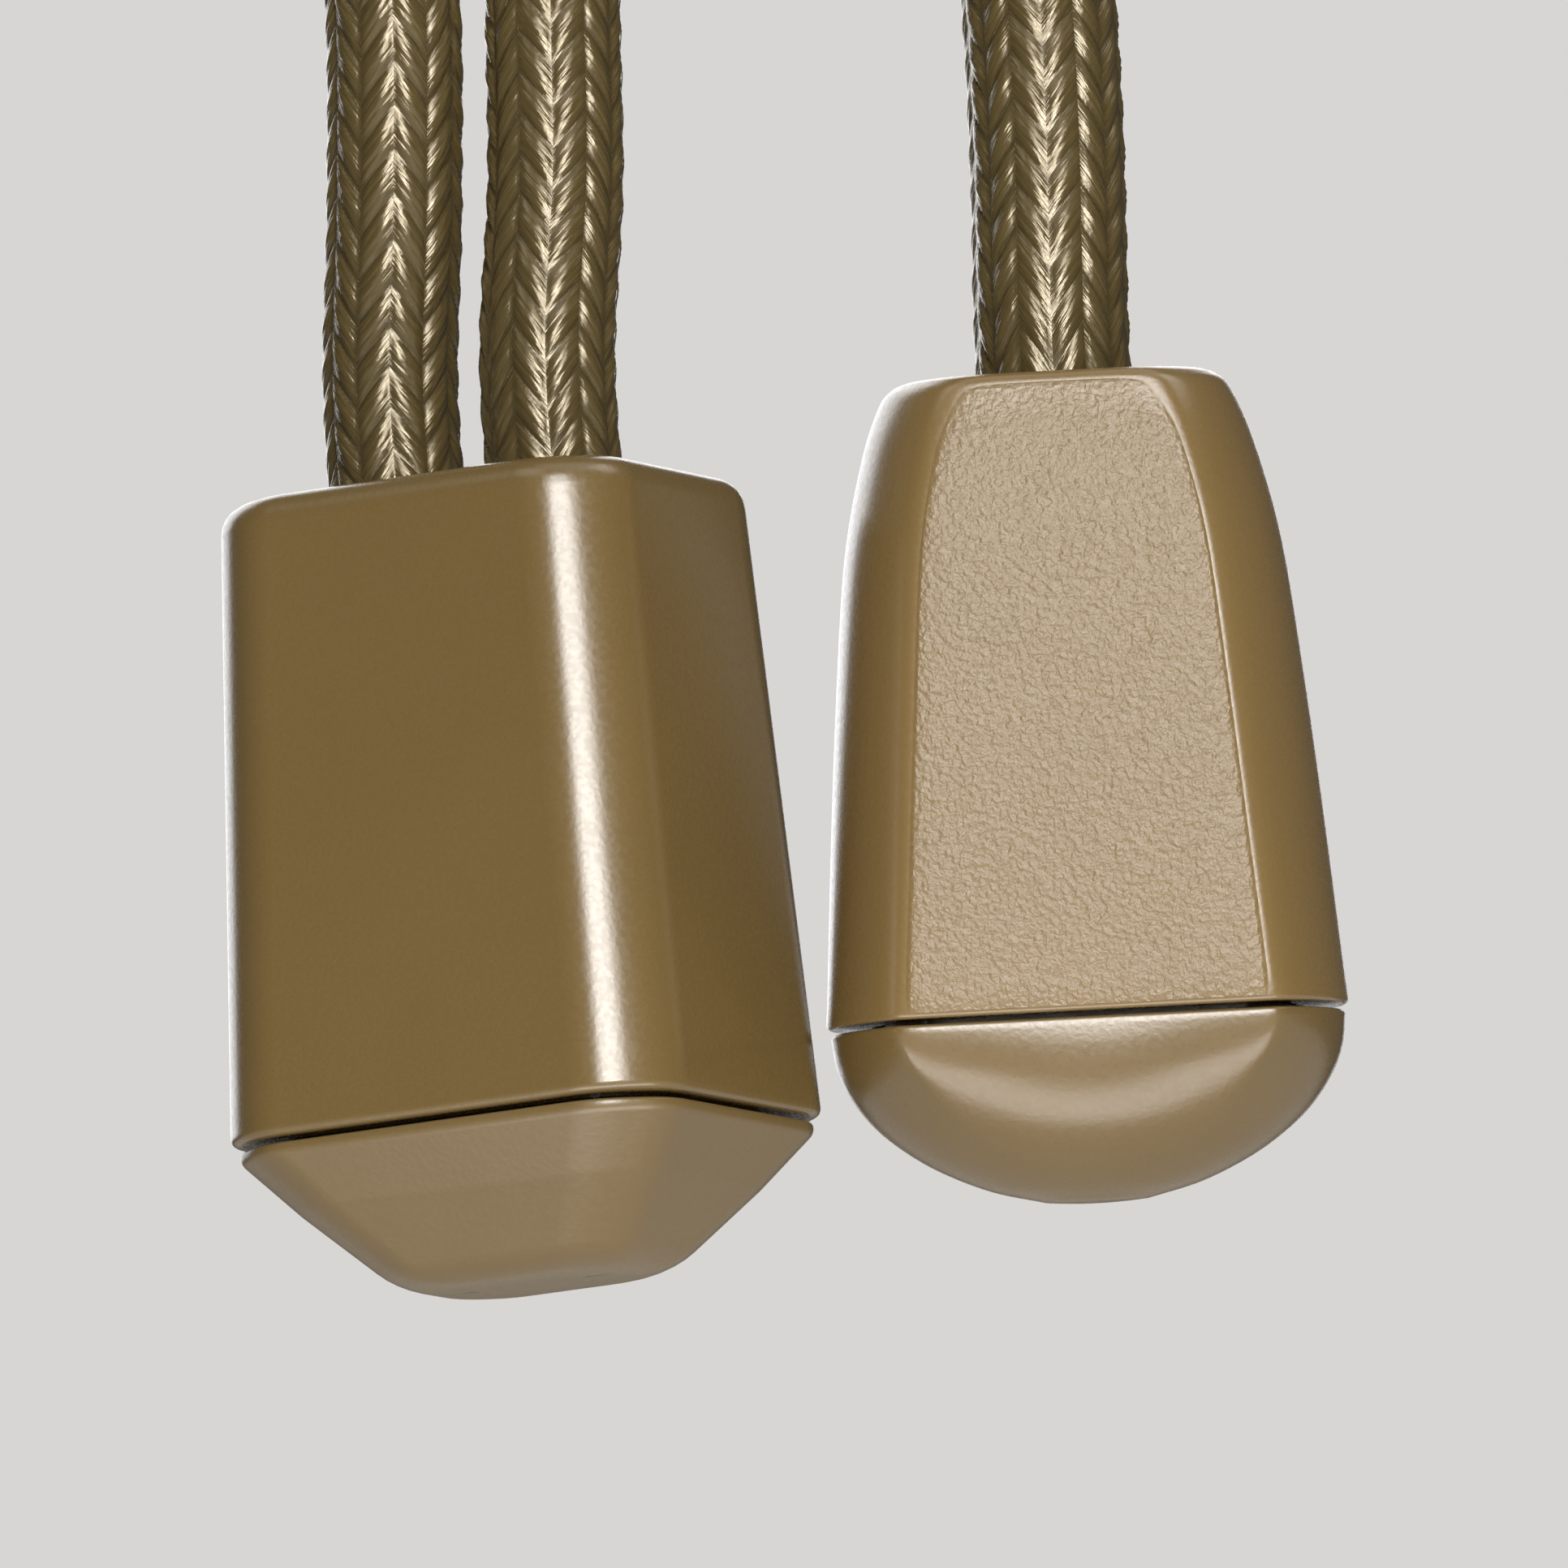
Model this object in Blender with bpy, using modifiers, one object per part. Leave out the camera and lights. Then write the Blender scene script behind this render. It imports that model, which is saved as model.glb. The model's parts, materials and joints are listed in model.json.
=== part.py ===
"""A moulded cord lock on its drawcord, with the bell-shaped cord end that hangs beside it.

The lock is a two-piece shell: a housing with two cord ports in its roof, and a lid that snaps
into its mouth and hides the knot that joins both ends of the drawcord. The bell end closes the
same way over the knot of a short keeper cord. Both hang from a tied hank of the spare drawcord.

Metres, +Z up. The origin is the top of the hank, where it is hung up. -Y is the front.
"""

import math

import bmesh
import bpy
from mathutils import Matrix, Vector

MM = 0.001
GAP = 0.3 * MM  # between pieces that touch or nest

# Cords.
DRAWCORD = 4.1 * MM  # diameter
KEEPER = 4.6 * MM  # diameter of the bell end's cord
PORT_PLAY = 0.3 * MM  # between a cord and the edge of its port, all round

# The hank: eight runs of drawcord, four across and two deep, drawn in at the waist by its tie.
HANK_RUN = 15.5 * DRAWCORD
HANK_HALF_WIDTH = 3 * DRAWCORD
WAIST_HALF_WIDTH = 2 * DRAWCORD
HANK_HALF_DEPTH = DRAWCORD
TOP_FOLD_Z = -HANK_HALF_WIDTH
LOW_FOLD_Z = TOP_FOLD_Z - HANK_RUN
HANK_BOTTOM_Z = LOW_FOLD_Z - HANK_HALF_WIDTH
WAIST_Z = (TOP_FOLD_Z + LOW_FOLD_Z) / 2

# Where the cords flex, just under the hank.
SWING_Z = HANK_BOTTOM_Z - 8 * MM
SWING_GAP = 1.2 * MM  # from the flexing point to each cord solid's end
LOCK_CORDS_X = 2.4 * MM  # each side of the hank's middle, at the flexing point
LEAD_X = 3.9 * MM  # and where they leave the hank
BELL_CORD_X = 16.4 * MM

# The lock, whose local X runs along its two ports.
LOCK_PLACE = Vector((-0.8, 0, 0)) * MM + Vector((0, 0, SWING_Z - 15.5 * MM))
LOCK_TURN = math.radians(-27)
LOCK_WIDTH = 14.8 * MM  # at the seam
LOCK_DEPTH = 12.9 * MM
LOCK_CORNER = 1.6 * MM
LOCK_DRAFT = 0.75 * MM  # how much each side draws in, from the seam up to the roof
LOCK_BODY = 18.9 * MM
LOCK_WALL = 1.25 * MM
LOCK_ROOF = 1.8 * MM
PORT_SPACING = 5.2 * MM
LOCK_LID = 4.5 * MM
LID_SLOPE_IN = 2.6 * MM  # how far in the lid's sloped sides come, each side
LID_SLOPE_DOWN = 3.4 * MM
LID_STEP = 0.15 * MM  # the lid's outline sits this far inside the housing's
LID_WALL = 1.3 * MM
RIM_HEIGHT = 2.5 * MM
RIM_WALL = 0.9 * MM

# The bell end, whose local Y faces its two flats.
BELL_PLACE = Vector((16.1, -1.1, 0)) * MM + Vector((0, 0, LOCK_PLACE.z + 2.0 * MM))
BELL_LEAN = (math.radians(5), math.radians(1.1), 0)  # bottom back, bottom to the left
BELL_BODY = 18.7 * MM
BELL_ROOF = 1.9 * MM
BELL_WALL = 1.3 * MM
FLAT_WALL = 1.1 * MM
FLAT_TOP = 3.95 * MM  # the flats' distance from the axis at the top
FLAT_SEAM = 5.2 * MM  # and at the seam
BELL_OUTLINE = [(4.3, 0), (4.85, 0.3), (5.4, 1.3), (5.9, 2.9), (6.4, 5.1), (6.88, 9.5), (7.25, 13.8), (7.62, 18.7)]
BELL_LID = 5.45 * MM
DOME_OUTLINE = [(7.5, 0), (7.35, 1.2), (6.6, 2.5), (5.5, 3.6), (4.1, 4.55), (2.2, 5.2), (0, 5.45)]

ROUND_STEPS = 48
PORT_SIDES = 24
SHARP = math.radians(35)  # a larger turn between two faces is shaded as an edge


for old in list(bpy.data.objects):
    bpy.data.objects.remove(old, do_unlink=True)


def collection(name):
    made = bpy.data.collections.new(name)
    bpy.context.scene.collection.children.link(made)
    return made


parts = collection("cord_lock")
cutters = collection("cutters")


def material(name, colour, roughness):
    made = bpy.data.materials.new(name)
    made.use_nodes = True
    shader = made.node_tree.nodes["Principled BSDF"]
    shader.inputs["Base Color"].default_value = (*colour, 1)
    shader.inputs["Roughness"].default_value = roughness
    return made


PLASTIC = material("moulded_plastic", (0.19, 0.125, 0.055), 0.42)
BELL_PLASTIC = material("bell_plastic", (0.2, 0.13, 0.06), 0.4)
LID_PLASTIC = material("lid_plastic", (0.21, 0.14, 0.07), 0.45)
BRAID = material("drawcord_braid", (0.16, 0.115, 0.05), 0.7)
KEEPER_BRAID = material("keeper_braid", (0.17, 0.12, 0.055), 0.7)
SEALED = material("sealed_ends", (0.07, 0.05, 0.025), 0.35)
STRAP = material("tie_strap", (0.11, 0.08, 0.04), 0.85)


def pivot(name, place, turn=(0, 0, 0), parent=None):
    """An empty on a joint's axis, or where a fitting sits, that carries the pieces there."""
    empty = bpy.data.objects.new(name, None)
    empty.location = place - parent.location if parent else place
    empty.rotation_euler = turn
    empty.parent = parent
    parts.objects.link(empty)
    return empty


def add(name, mesh, finish, parent=None):
    made = bpy.data.objects.new(name, mesh)
    parts.objects.link(made)
    made.data.materials.append(finish)
    made.parent = parent
    return made


def cutter(name, mesh, parent=None):
    made = bpy.data.objects.new(name, mesh)
    cutters.objects.link(made)
    made.parent = parent
    made.hide_render = True
    made.display_type = "WIRE"
    return made


def boolean(target, other, operation="DIFFERENCE"):
    step = target.modifiers.new(f"{operation.lower()} {other.name}", "BOOLEAN")
    step.object = other
    step.operation = operation
    step.solver = "EXACT"


def finished(bm, name):
    bmesh.ops.recalc_face_normals(bm, faces=bm.faces)
    mesh = bpy.data.meshes.new(name)
    bm.to_mesh(mesh)
    bm.free()
    mesh.shade_smooth()
    mesh.set_sharp_from_angle(angle=SHARP)
    return mesh


def upright(edge):
    """True for an edge that runs more up and down than across."""
    run = edge.verts[1].co - edge.verts[0].co
    return abs(run.z) > 0.5 * run.length


def tapered_box(name, top, bottom, z_top, z_bottom, corner, rounding=0.0, edge=0.0):
    """A box from its (width, depth) at the top to that at the bottom, with its upright corners chamfered.

    rounding is the radius of the upright edges and the upper ones, and edge that of the lower ones.
    """
    bm = bmesh.new()
    bmesh.ops.create_cube(bm, size=1)
    for v in bm.verts:
        width, depth = top if v.co.z > 0 else bottom
        v.co = Vector((v.co.x * width, v.co.y * depth, z_top if v.co.z > 0 else z_bottom))
    corners = [e for e in bm.edges if upright(e)]
    bmesh.ops.bevel(bm, geom=corners, offset=corner, segments=1, affect="EDGES", profile=0.5)
    if edge:
        lower = [e for e in bm.edges if all(abs(v.co.z - z_bottom) < 1e-7 for v in e.verts)]
        bmesh.ops.bevel(bm, geom=lower, offset=edge, segments=2, affect="EDGES", profile=0.5)
    if rounding:
        tall = 0.5 * (z_top - z_bottom)
        sides = [e for e in bm.edges if upright(e) and e.calc_length() > tall]
        upper = [e for e in bm.edges if all(abs(v.co.z - z_top) < 1e-7 for v in e.verts)]
        bmesh.ops.bevel(bm, geom=sides + upper, offset=rounding, segments=3, affect="EDGES", profile=0.5)
    return finished(bm, name)


def rod(name, radius, z_top, z_bottom, x=0.0, sides=PORT_SIDES):
    bm = bmesh.new()
    place = Matrix.Translation((x, 0, (z_top + z_bottom) / 2))
    bmesh.ops.create_cone(
        bm,
        cap_ends=True,
        segments=sides,
        radius1=radius,
        radius2=radius,
        depth=z_top - z_bottom,
        matrix=place,
    )
    return finished(bm, name)


def rounded_lump(name, half_sizes, place):
    """An egg-shaped solid, the outer shape of a knot."""
    bm = bmesh.new()
    bmesh.ops.create_uvsphere(bm, u_segments=24, v_segments=14, radius=1)
    bmesh.ops.scale(bm, vec=half_sizes, verts=bm.verts)
    bmesh.ops.translate(bm, vec=place, verts=bm.verts)
    return finished(bm, name)


def turned(name, profile):
    """An open profile from the axis, out, down its outer side and back to the axis, for a Screw modifier."""
    mesh = bpy.data.meshes.new(name)
    points = [(radius, 0, z) for radius, z in profile]
    mesh.from_pydata(points, [(i, i + 1) for i in range(len(points) - 1)], [])
    return mesh


def screw(target):
    step = target.modifiers.new("turn", "SCREW")
    step.steps = step.render_steps = ROUND_STEPS
    step.use_merge_vertices = True
    step.merge_threshold = 1e-6


def smooth_line(points, step):
    """Points a step apart, or a little less, on a smooth curve through the points."""
    points = [Vector(p) for p in points]
    ends = [2 * points[0] - points[1], *points, 2 * points[-1] - points[-2]]
    fine = []
    for a, b, c, d in zip(ends, ends[1:], ends[2:], ends[3:]):
        for i in range(40):
            t = i / 40
            fine.append(
                0.5
                * (2 * b + (c - a) * t + (2 * a - 5 * b + 4 * c - d) * t**2 + (3 * b - a - 3 * c + d) * t**3)
            )
    fine.append(points[-1])
    reach = [0.0]
    for a, b in zip(fine, fine[1:]):
        reach.append(reach[-1] + (b - a).length)
    count = max(2, math.ceil(reach[-1] / step))
    line, i = [], 0
    for k in range(count + 1):
        goal = reach[-1] * k / count
        while i < len(fine) - 2 and reach[i + 1] < goal:
            i += 1
        line.append(fine[i].lerp(fine[i + 1], (goal - reach[i]) / max(reach[i + 1] - reach[i], 1e-12)))
    return line


def cord(name, points, diameter, finish, parent=None):
    """A round cord through points in the part's own frame."""
    start = parent.location if parent else Vector()
    curve = bpy.data.curves.new(name, "CURVE")
    curve.dimensions = "3D"
    curve.bevel_depth = diameter / 2
    curve.bevel_resolution = 3
    curve.use_fill_caps = True
    line = smooth_line(points, 1.5 * diameter)
    spline = curve.splines.new("POLY")
    spline.points.add(len(line) - 1)
    for point, place in zip(spline.points, line):
        point.co = (*(place - start), 1)
    return add(name, curve, finish, parent)


def flat_outline(name, outlines, half_height):
    """A filled outline in its own XY plane, with any further outlines as holes, extruded both ways."""
    curve = bpy.data.curves.new(name, "CURVE")
    curve.dimensions = "2D"
    curve.fill_mode = "BOTH"
    curve.extrude = half_height
    for points in outlines:
        spline = curve.splines.new("POLY")
        spline.points.add(len(points) - 1)
        spline.use_cyclic_u = True
        for point, (x, y) in zip(spline.points, points):
            point.co = (x, y, 0, 1)
    return curve


def as_mesh(curve, turn=None):
    """The curve's closed mesh, turned into place."""
    maker = bpy.data.objects.new(curve.name, curve)
    parts.objects.link(maker)
    bpy.context.view_layer.update()
    shown = maker.evaluated_get(bpy.context.evaluated_depsgraph_get())
    mesh = bpy.data.meshes.new_from_object(shown)
    bpy.data.objects.remove(maker, do_unlink=True)
    bm = bmesh.new()
    bm.from_mesh(mesh)
    bmesh.ops.remove_doubles(bm, verts=bm.verts, dist=1e-6)
    if turn:
        bmesh.ops.transform(bm, matrix=turn, verts=bm.verts)
    return finished(bm, curve.name)


# The lock.


def lock_section(z):
    """The housing's outer width and depth at a height between its roof, at 0, and its seam."""
    inward = LOCK_DRAFT * (1 + z / LOCK_BODY)
    return LOCK_WIDTH - 2 * inward, LOCK_DEPTH - 2 * inward


def inset(section, by):
    return section[0] - 2 * by, section[1] - 2 * by


def lock_housing(lock):
    outer = tapered_box(
        "lock_housing",
        lock_section(0),
        lock_section(-LOCK_BODY),
        0,
        -LOCK_BODY,
        LOCK_CORNER,
        rounding=0.9 * MM,
        edge=0.2 * MM,
    )
    housing = add("lock_housing", outer, PLASTIC, lock)
    past = 1 * MM
    hollow = tapered_box(
        "lock_hollow",
        inset(lock_section(-LOCK_ROOF), LOCK_WALL),
        inset(lock_section(-LOCK_BODY - past), LOCK_WALL),
        -LOCK_ROOF,
        -LOCK_BODY - past,
        LOCK_CORNER - 0.4 * LOCK_WALL,
    )
    boolean(housing, cutter("lock_hollow", hollow, lock))
    for side, name in ((-1, "left"), (1, "right")):
        port = rod(
            f"lock_port_{name}",
            DRAWCORD / 2 + PORT_PLAY,
            past,
            -LOCK_ROOF - past,
            side * PORT_SPACING / 2,
        )
        boolean(housing, cutter(f"lock_port_{name}", port, lock))


def lock_lid(lock):
    seam = -LOCK_BODY - 0.2 * MM
    outline = inset(lock_section(-LOCK_BODY), LID_STEP)
    foot = inset(outline, LID_SLOPE_IN)
    lid = add(
        "lock_lid",
        tapered_box("lock_lid", outline, foot, seam, seam - LID_SLOPE_DOWN, LOCK_CORNER),
        LID_PLASTIC,
        lock,
    )
    swell = 1.7 * MM
    underside = tapered_box(
        "lid_underside",
        foot,
        inset(foot, swell),
        seam - LID_SLOPE_DOWN + 0.4 * MM,
        -LOCK_BODY - LOCK_LID,
        LOCK_CORNER,
    )
    boolean(lid, cutter("lid_underside", underside, lock), "UNION")
    mouth = inset(lock_section(-LOCK_BODY + RIM_HEIGHT), LOCK_WALL + GAP)
    rim_top = -LOCK_BODY + RIM_HEIGHT
    rim_corner = LOCK_CORNER - 0.4 * LOCK_WALL
    rim = tapered_box("lid_rim", mouth, mouth, rim_top, seam - 0.5 * MM, rim_corner)
    boolean(lid, cutter("lid_rim", rim, lock), "UNION")
    room = inset(mouth, RIM_WALL)
    hollow = tapered_box(
        "lid_hollow",
        room,
        inset(foot, LID_WALL - 0.5 * MM),
        rim_top + 1 * MM,
        -LOCK_BODY - LOCK_LID + LID_WALL,
        rim_corner,
    )
    boolean(lid, cutter("lid_hollow", hollow, lock))


KNOT_DROP = 0.3 * MM  # from the roof's underside to the knot
LOCK_KNOT = Vector((5.2, 4.4, 6.7)) * MM  # half sizes of the knot that joins both ends
LOCK_KNOT_Z = -LOCK_ROOF - KNOT_DROP - LOCK_KNOT.z
TIP = 1.6 * MM  # radius of a melted cord end, drawn in by the heat
TIP_LENGTH = 2.4 * MM


def lock_cord(hinge, lock):
    turn = Matrix.Rotation(LOCK_TURN, 4, "Z")
    for side, name in ((-1, "left"), (1, "right")):
        port = LOCK_PLACE + turn @ Vector((side * PORT_SPACING / 2, 0, 0))
        lean = Vector((-0.15 * MM, 0, 0))
        top_x = side * LOCK_CORDS_X
        points = [
            port + lean + Vector((0, 0, -LOCK_ROOF)),
            port + lean + Vector((0, 0, 3.5 * MM)),
            (top_x, 0, SWING_Z - SWING_GAP - 1.5 * MM),
            (top_x, 0, SWING_Z - SWING_GAP),
        ]
        cord(f"lock_cord_{name}", points, DRAWCORD, BRAID, hinge)
        lead = [
            (top_x, 0, SWING_Z + SWING_GAP),
            (top_x + side * 0.2 * MM, 0, SWING_Z + 3.5 * MM),
            (side * LEAD_X, 0, HANK_BOTTOM_Z - 2.5 * GAP),
        ]
        cord(f"hank_lead_{name}", lead, DRAWCORD, BRAID)
        tip_top = LOCK_KNOT_Z - LOCK_KNOT.z - GAP
        tip = rod(f"lock_tip_{name}", TIP, tip_top, tip_top - TIP_LENGTH, side * 1.8 * MM, 16)
        add(f"lock_tip_{name}", tip, SEALED, lock)
    knot = rounded_lump("lock_knot", LOCK_KNOT, Vector((0, 0, LOCK_KNOT_Z)))
    add("lock_knot", knot, BRAID, lock)


# The bell end.


def bell_radius(depth):
    """The bell's outer radius at a depth below its top."""
    for (r0, d0), (r1, d1) in zip(BELL_OUTLINE, BELL_OUTLINE[1:]):
        if depth <= d1 * MM:
            return MM * (r0 + (r1 - r0) * (depth / MM - d0) / (d1 - d0))
    return MM * BELL_OUTLINE[-1][0]


def flat_distance(depth):
    return FLAT_TOP + (FLAT_SEAM - FLAT_TOP) * depth / BELL_BODY


def slabs(name, inward, z_top, z_bottom, parent, slope=True):
    """The two blocks outside the flats, moved in by inward, which cut a turned shape's front and back."""
    far = 15 * MM
    for side, end in ((-1, "front"), (1, "back")):
        bm = bmesh.new()
        bmesh.ops.create_cube(bm, size=1)
        for v in bm.verts:
            z = z_top if v.co.z > 0 else z_bottom
            near = flat_distance(-z if slope else BELL_BODY) - inward
            reach = near if v.co.y * side < 0 else far
            v.co = Vector((v.co.x * 2 * far, side * reach, z))
        yield cutter(f"{name}_{end}", finished(bm, f"{name}_{end}"), parent)


def bell_housing(bell):
    profile = [(0, 0), *((r * MM, -d * MM) for r, d in BELL_OUTLINE), (0, -BELL_BODY)]
    housing = add("bell_housing", turned("bell_housing", profile), BELL_PLASTIC, bell)
    screw(housing)
    for slab in slabs("bell_flat", 0, 1 * MM, -BELL_BODY - 1 * MM, bell):
        boolean(housing, slab)
    past = 1 * MM
    depths = [BELL_ROOF, 5 * MM, 10 * MM, BELL_BODY]
    inside = [(bell_radius(d) - BELL_WALL, -d) for d in depths]
    inside = [(0, -BELL_ROOF), *inside, (inside[-1][0], -BELL_BODY - past), (0, -BELL_BODY - past)]
    hollow = cutter("bell_hollow", turned("bell_hollow", inside), bell)
    screw(hollow)
    for slab in slabs("bell_hollow_flat", FLAT_WALL, 0, -BELL_BODY - 2 * past, bell):
        boolean(hollow, slab)
    boolean(housing, hollow)
    port = rod("bell_port", KEEPER / 2 + PORT_PLAY, past, -BELL_ROOF - past)
    boolean(housing, cutter("bell_port", port, bell))


def bell_lid(bell):
    seam = -BELL_BODY - 0.2 * MM
    drop = (BELL_LID - 0.2 * MM) / BELL_LID
    profile = [(0, seam), *((r * MM, seam - d * MM * drop) for r, d in DOME_OUTLINE)]
    lid = add("bell_lid", turned("bell_lid", profile), BELL_PLASTIC, bell)
    screw(lid)
    for slab in slabs("lid_flat", LID_STEP, seam + 1 * MM, -BELL_BODY - BELL_LID, bell, slope=False):
        boolean(lid, slab)
    rim_top = -BELL_BODY + RIM_HEIGHT
    rim_radius = bell_radius(BELL_BODY - RIM_HEIGHT) - BELL_WALL - GAP
    rim_profile = [(0, rim_top), (rim_radius, rim_top), (rim_radius, seam - 0.5 * MM), (0, seam - 0.5 * MM)]
    rim = cutter("bell_rim", turned("bell_rim", rim_profile), bell)
    screw(rim)
    rim_inward = flat_distance(BELL_BODY) - flat_distance(BELL_BODY - RIM_HEIGHT) + FLAT_WALL + GAP
    for slab in slabs("rim_flat", rim_inward, rim_top + 1 * MM, seam - 1 * MM, bell, slope=False):
        boolean(rim, slab)
    boolean(lid, rim, "UNION")
    floor = -BELL_BODY - BELL_LID + 1.6 * MM
    room = rim_radius - RIM_WALL
    room_profile = [(0, rim_top + 1 * MM), (room, rim_top + 1 * MM), (room, seam), (0.55 * room, floor), (0, floor)]
    hollow = cutter("bell_lid_hollow", turned("bell_lid_hollow", room_profile), bell)
    screw(hollow)
    for slab in slabs("room_flat", rim_inward + RIM_WALL, rim_top + 2 * MM, floor - 1 * MM, bell, slope=False):
        boolean(hollow, slab)
    boolean(lid, hollow)


BELL_KNOT = Vector((4.9, 3.0, 4.8)) * MM
BELL_KNOT_Z = -BELL_ROOF - KNOT_DROP - BELL_KNOT.z


def bell_cord(hinge, bell):
    bpy.context.view_layer.update()
    along = [bell.matrix_world @ Vector((0, 0, z * MM)) for z in (-1.9, 1.0, 5.0)]
    top = Vector((BELL_CORD_X, 0, SWING_Z - SWING_GAP))
    points = [*along, top - Vector((0, 0, 1.5 * MM)), top]
    cord("bell_cord", points, KEEPER, KEEPER_BRAID, hinge)
    add("bell_knot", rounded_lump("bell_knot", BELL_KNOT, Vector((0, 0, BELL_KNOT_Z))), KEEPER_BRAID, bell)
    tip_top = BELL_KNOT_Z - BELL_KNOT.z - GAP
    add("bell_tip", rod("bell_tip", TIP, tip_top, tip_top - TIP_LENGTH, 0, 16), SEALED, bell)


# The hank, its tie and the keeper cord's upper end.

KEEPER_X = WAIST_HALF_WIDTH + GAP + KEEPER / 2  # where the tie binds the keeper cord to the hank
KEEPER_KNOT = Vector((4.6, 4.4, 4.2)) * MM
KEEPER_KNOT_PLACE = Vector((KEEPER_X + 4.7 * MM, 0, WAIST_Z + 16 * MM))
TIE_HALF_HEIGHT = 5 * MM
TIE_THICKNESS = 1.3 * MM


def waisted(z):
    """The hank's half width: least at the waist and full at the folds, with a smooth wave between."""
    share = 0.5 - 0.5 * math.cos(2 * math.pi * (z - WAIST_Z) / HANK_RUN)
    return WAIST_HALF_WIDTH + (HANK_HALF_WIDTH - WAIST_HALF_WIDTH) * share


def hank():
    steps = 16
    heights = [LOW_FOLD_Z + HANK_RUN * i / steps for i in range(steps + 1)]
    turns = [math.pi * i / steps for i in range(1, steps)]
    right = [(waisted(z), z) for z in heights]
    top = [(HANK_HALF_WIDTH * math.cos(a), TOP_FOLD_Z + HANK_HALF_WIDTH * math.sin(a)) for a in turns]
    left = [(-x, z) for x, z in reversed(right)]
    low = [(-HANK_HALF_WIDTH * math.cos(a), LOW_FOLD_Z - HANK_HALF_WIDTH * math.sin(a)) for a in turns]
    outline = flat_outline("drawcord_hank", [right + top + left + low], HANK_HALF_DEPTH - DRAWCORD / 2)
    outline.bevel_depth = DRAWCORD / 2
    outline.bevel_resolution = 2
    outline.offset = -DRAWCORD / 2
    add("drawcord_hank", as_mesh(outline, Matrix.Rotation(math.pi / 2, 4, "X")), BRAID)


def wrap(gap):
    """The outline, gap away, of a strap pulled round the hank's waist and the keeper cord beside it."""
    corner_x = WAIST_HALF_WIDTH - DRAWCORD / 2
    corner_y = HANK_HALF_DEPTH - DRAWCORD / 2
    slope = math.atan2(KEEPER_X - corner_x, corner_y)
    rounds = [
        (KEEPER_X, 0, KEEPER / 2, -slope, slope),
        (corner_x, corner_y, DRAWCORD / 2, slope, math.pi / 2),
        (-corner_x, corner_y, DRAWCORD / 2, math.pi / 2, math.pi),
        (-corner_x, -corner_y, DRAWCORD / 2, math.pi, 1.5 * math.pi),
        (corner_x, -corner_y, DRAWCORD / 2, 1.5 * math.pi, 2 * math.pi - slope),
    ]
    for x, y, radius, start, end in rounds:
        count = max(2, round((end - start) / 0.22))
        for i in range(count + 1):
            a = start + (end - start) * i / count
            yield x + (radius + gap) * math.cos(a), y + (radius + gap) * math.sin(a)


def tie():
    rings = [list(wrap(GAP + TIE_THICKNESS)), list(wrap(GAP))]
    band = as_mesh(flat_outline("hank_tie", rings, TIE_HALF_HEIGHT), Matrix.Translation((0, 0, WAIST_Z)))
    add("hank_tie", band, STRAP)


def keeper_end():
    beside_fold = HANK_HALF_WIDTH + GAP + KEEPER / 2
    points = [
        (BELL_CORD_X, 0, SWING_Z + SWING_GAP),
        (beside_fold + 0.9 * MM, 0, LOW_FOLD_Z - 6 * MM),
        (beside_fold + 0.2 * MM, 0, LOW_FOLD_Z + 3 * MM),
        (KEEPER_X + 1.8 * MM, 0, WAIST_Z - 15 * MM),
        (KEEPER_X, 0, WAIST_Z - 6 * MM),
        (KEEPER_X, 0, WAIST_Z),
        (KEEPER_X, 0, WAIST_Z + 6 * MM),
        KEEPER_KNOT_PLACE - Vector((1.2 * MM, 0, KEEPER_KNOT.z + GAP)),
    ]
    cord("keeper_cord", points, KEEPER, KEEPER_BRAID)
    add("keeper_knot", rounded_lump("keeper_knot", KEEPER_KNOT, KEEPER_KNOT_PLACE), KEEPER_BRAID)
    tip_foot = KEEPER_KNOT_PLACE.z + KEEPER_KNOT.z + GAP
    tip = rod("keeper_tip", TIP, tip_foot + TIP_LENGTH, tip_foot, KEEPER_KNOT_PLACE.x, 16)
    add("keeper_tip", tip, SEALED)


def main():
    lock_hinge = pivot("lock_swing_axis", Vector((0, 0, SWING_Z)))
    bell_hinge = pivot("bell_swing_axis", Vector((BELL_CORD_X, 0, SWING_Z)))
    lock = pivot("lock_axis", LOCK_PLACE, (0, 0, LOCK_TURN), lock_hinge)
    bell = pivot("bell_twist_axis", BELL_PLACE, BELL_LEAN, bell_hinge)
    lock_housing(lock)
    lock_lid(lock)
    lock_cord(lock_hinge, lock)
    bell_housing(bell)
    bell_lid(bell)
    bell_cord(bell_hinge, bell)
    hank()
    tie()
    keeper_end()


main()
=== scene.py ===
"""The looks of a moulded cord lock and the bell-shaped cord end that hangs beside it.

Both hang from a tied hank of braided drawcord. Every CAD node is replaced by a detailed piece at
the same place. Places are in millimetres in the row frame, and are turned to metres on use.
"""

import json
import math
import random

import bmesh
import bpy
import numpy as np
from mathutils import Matrix, Vector


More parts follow.
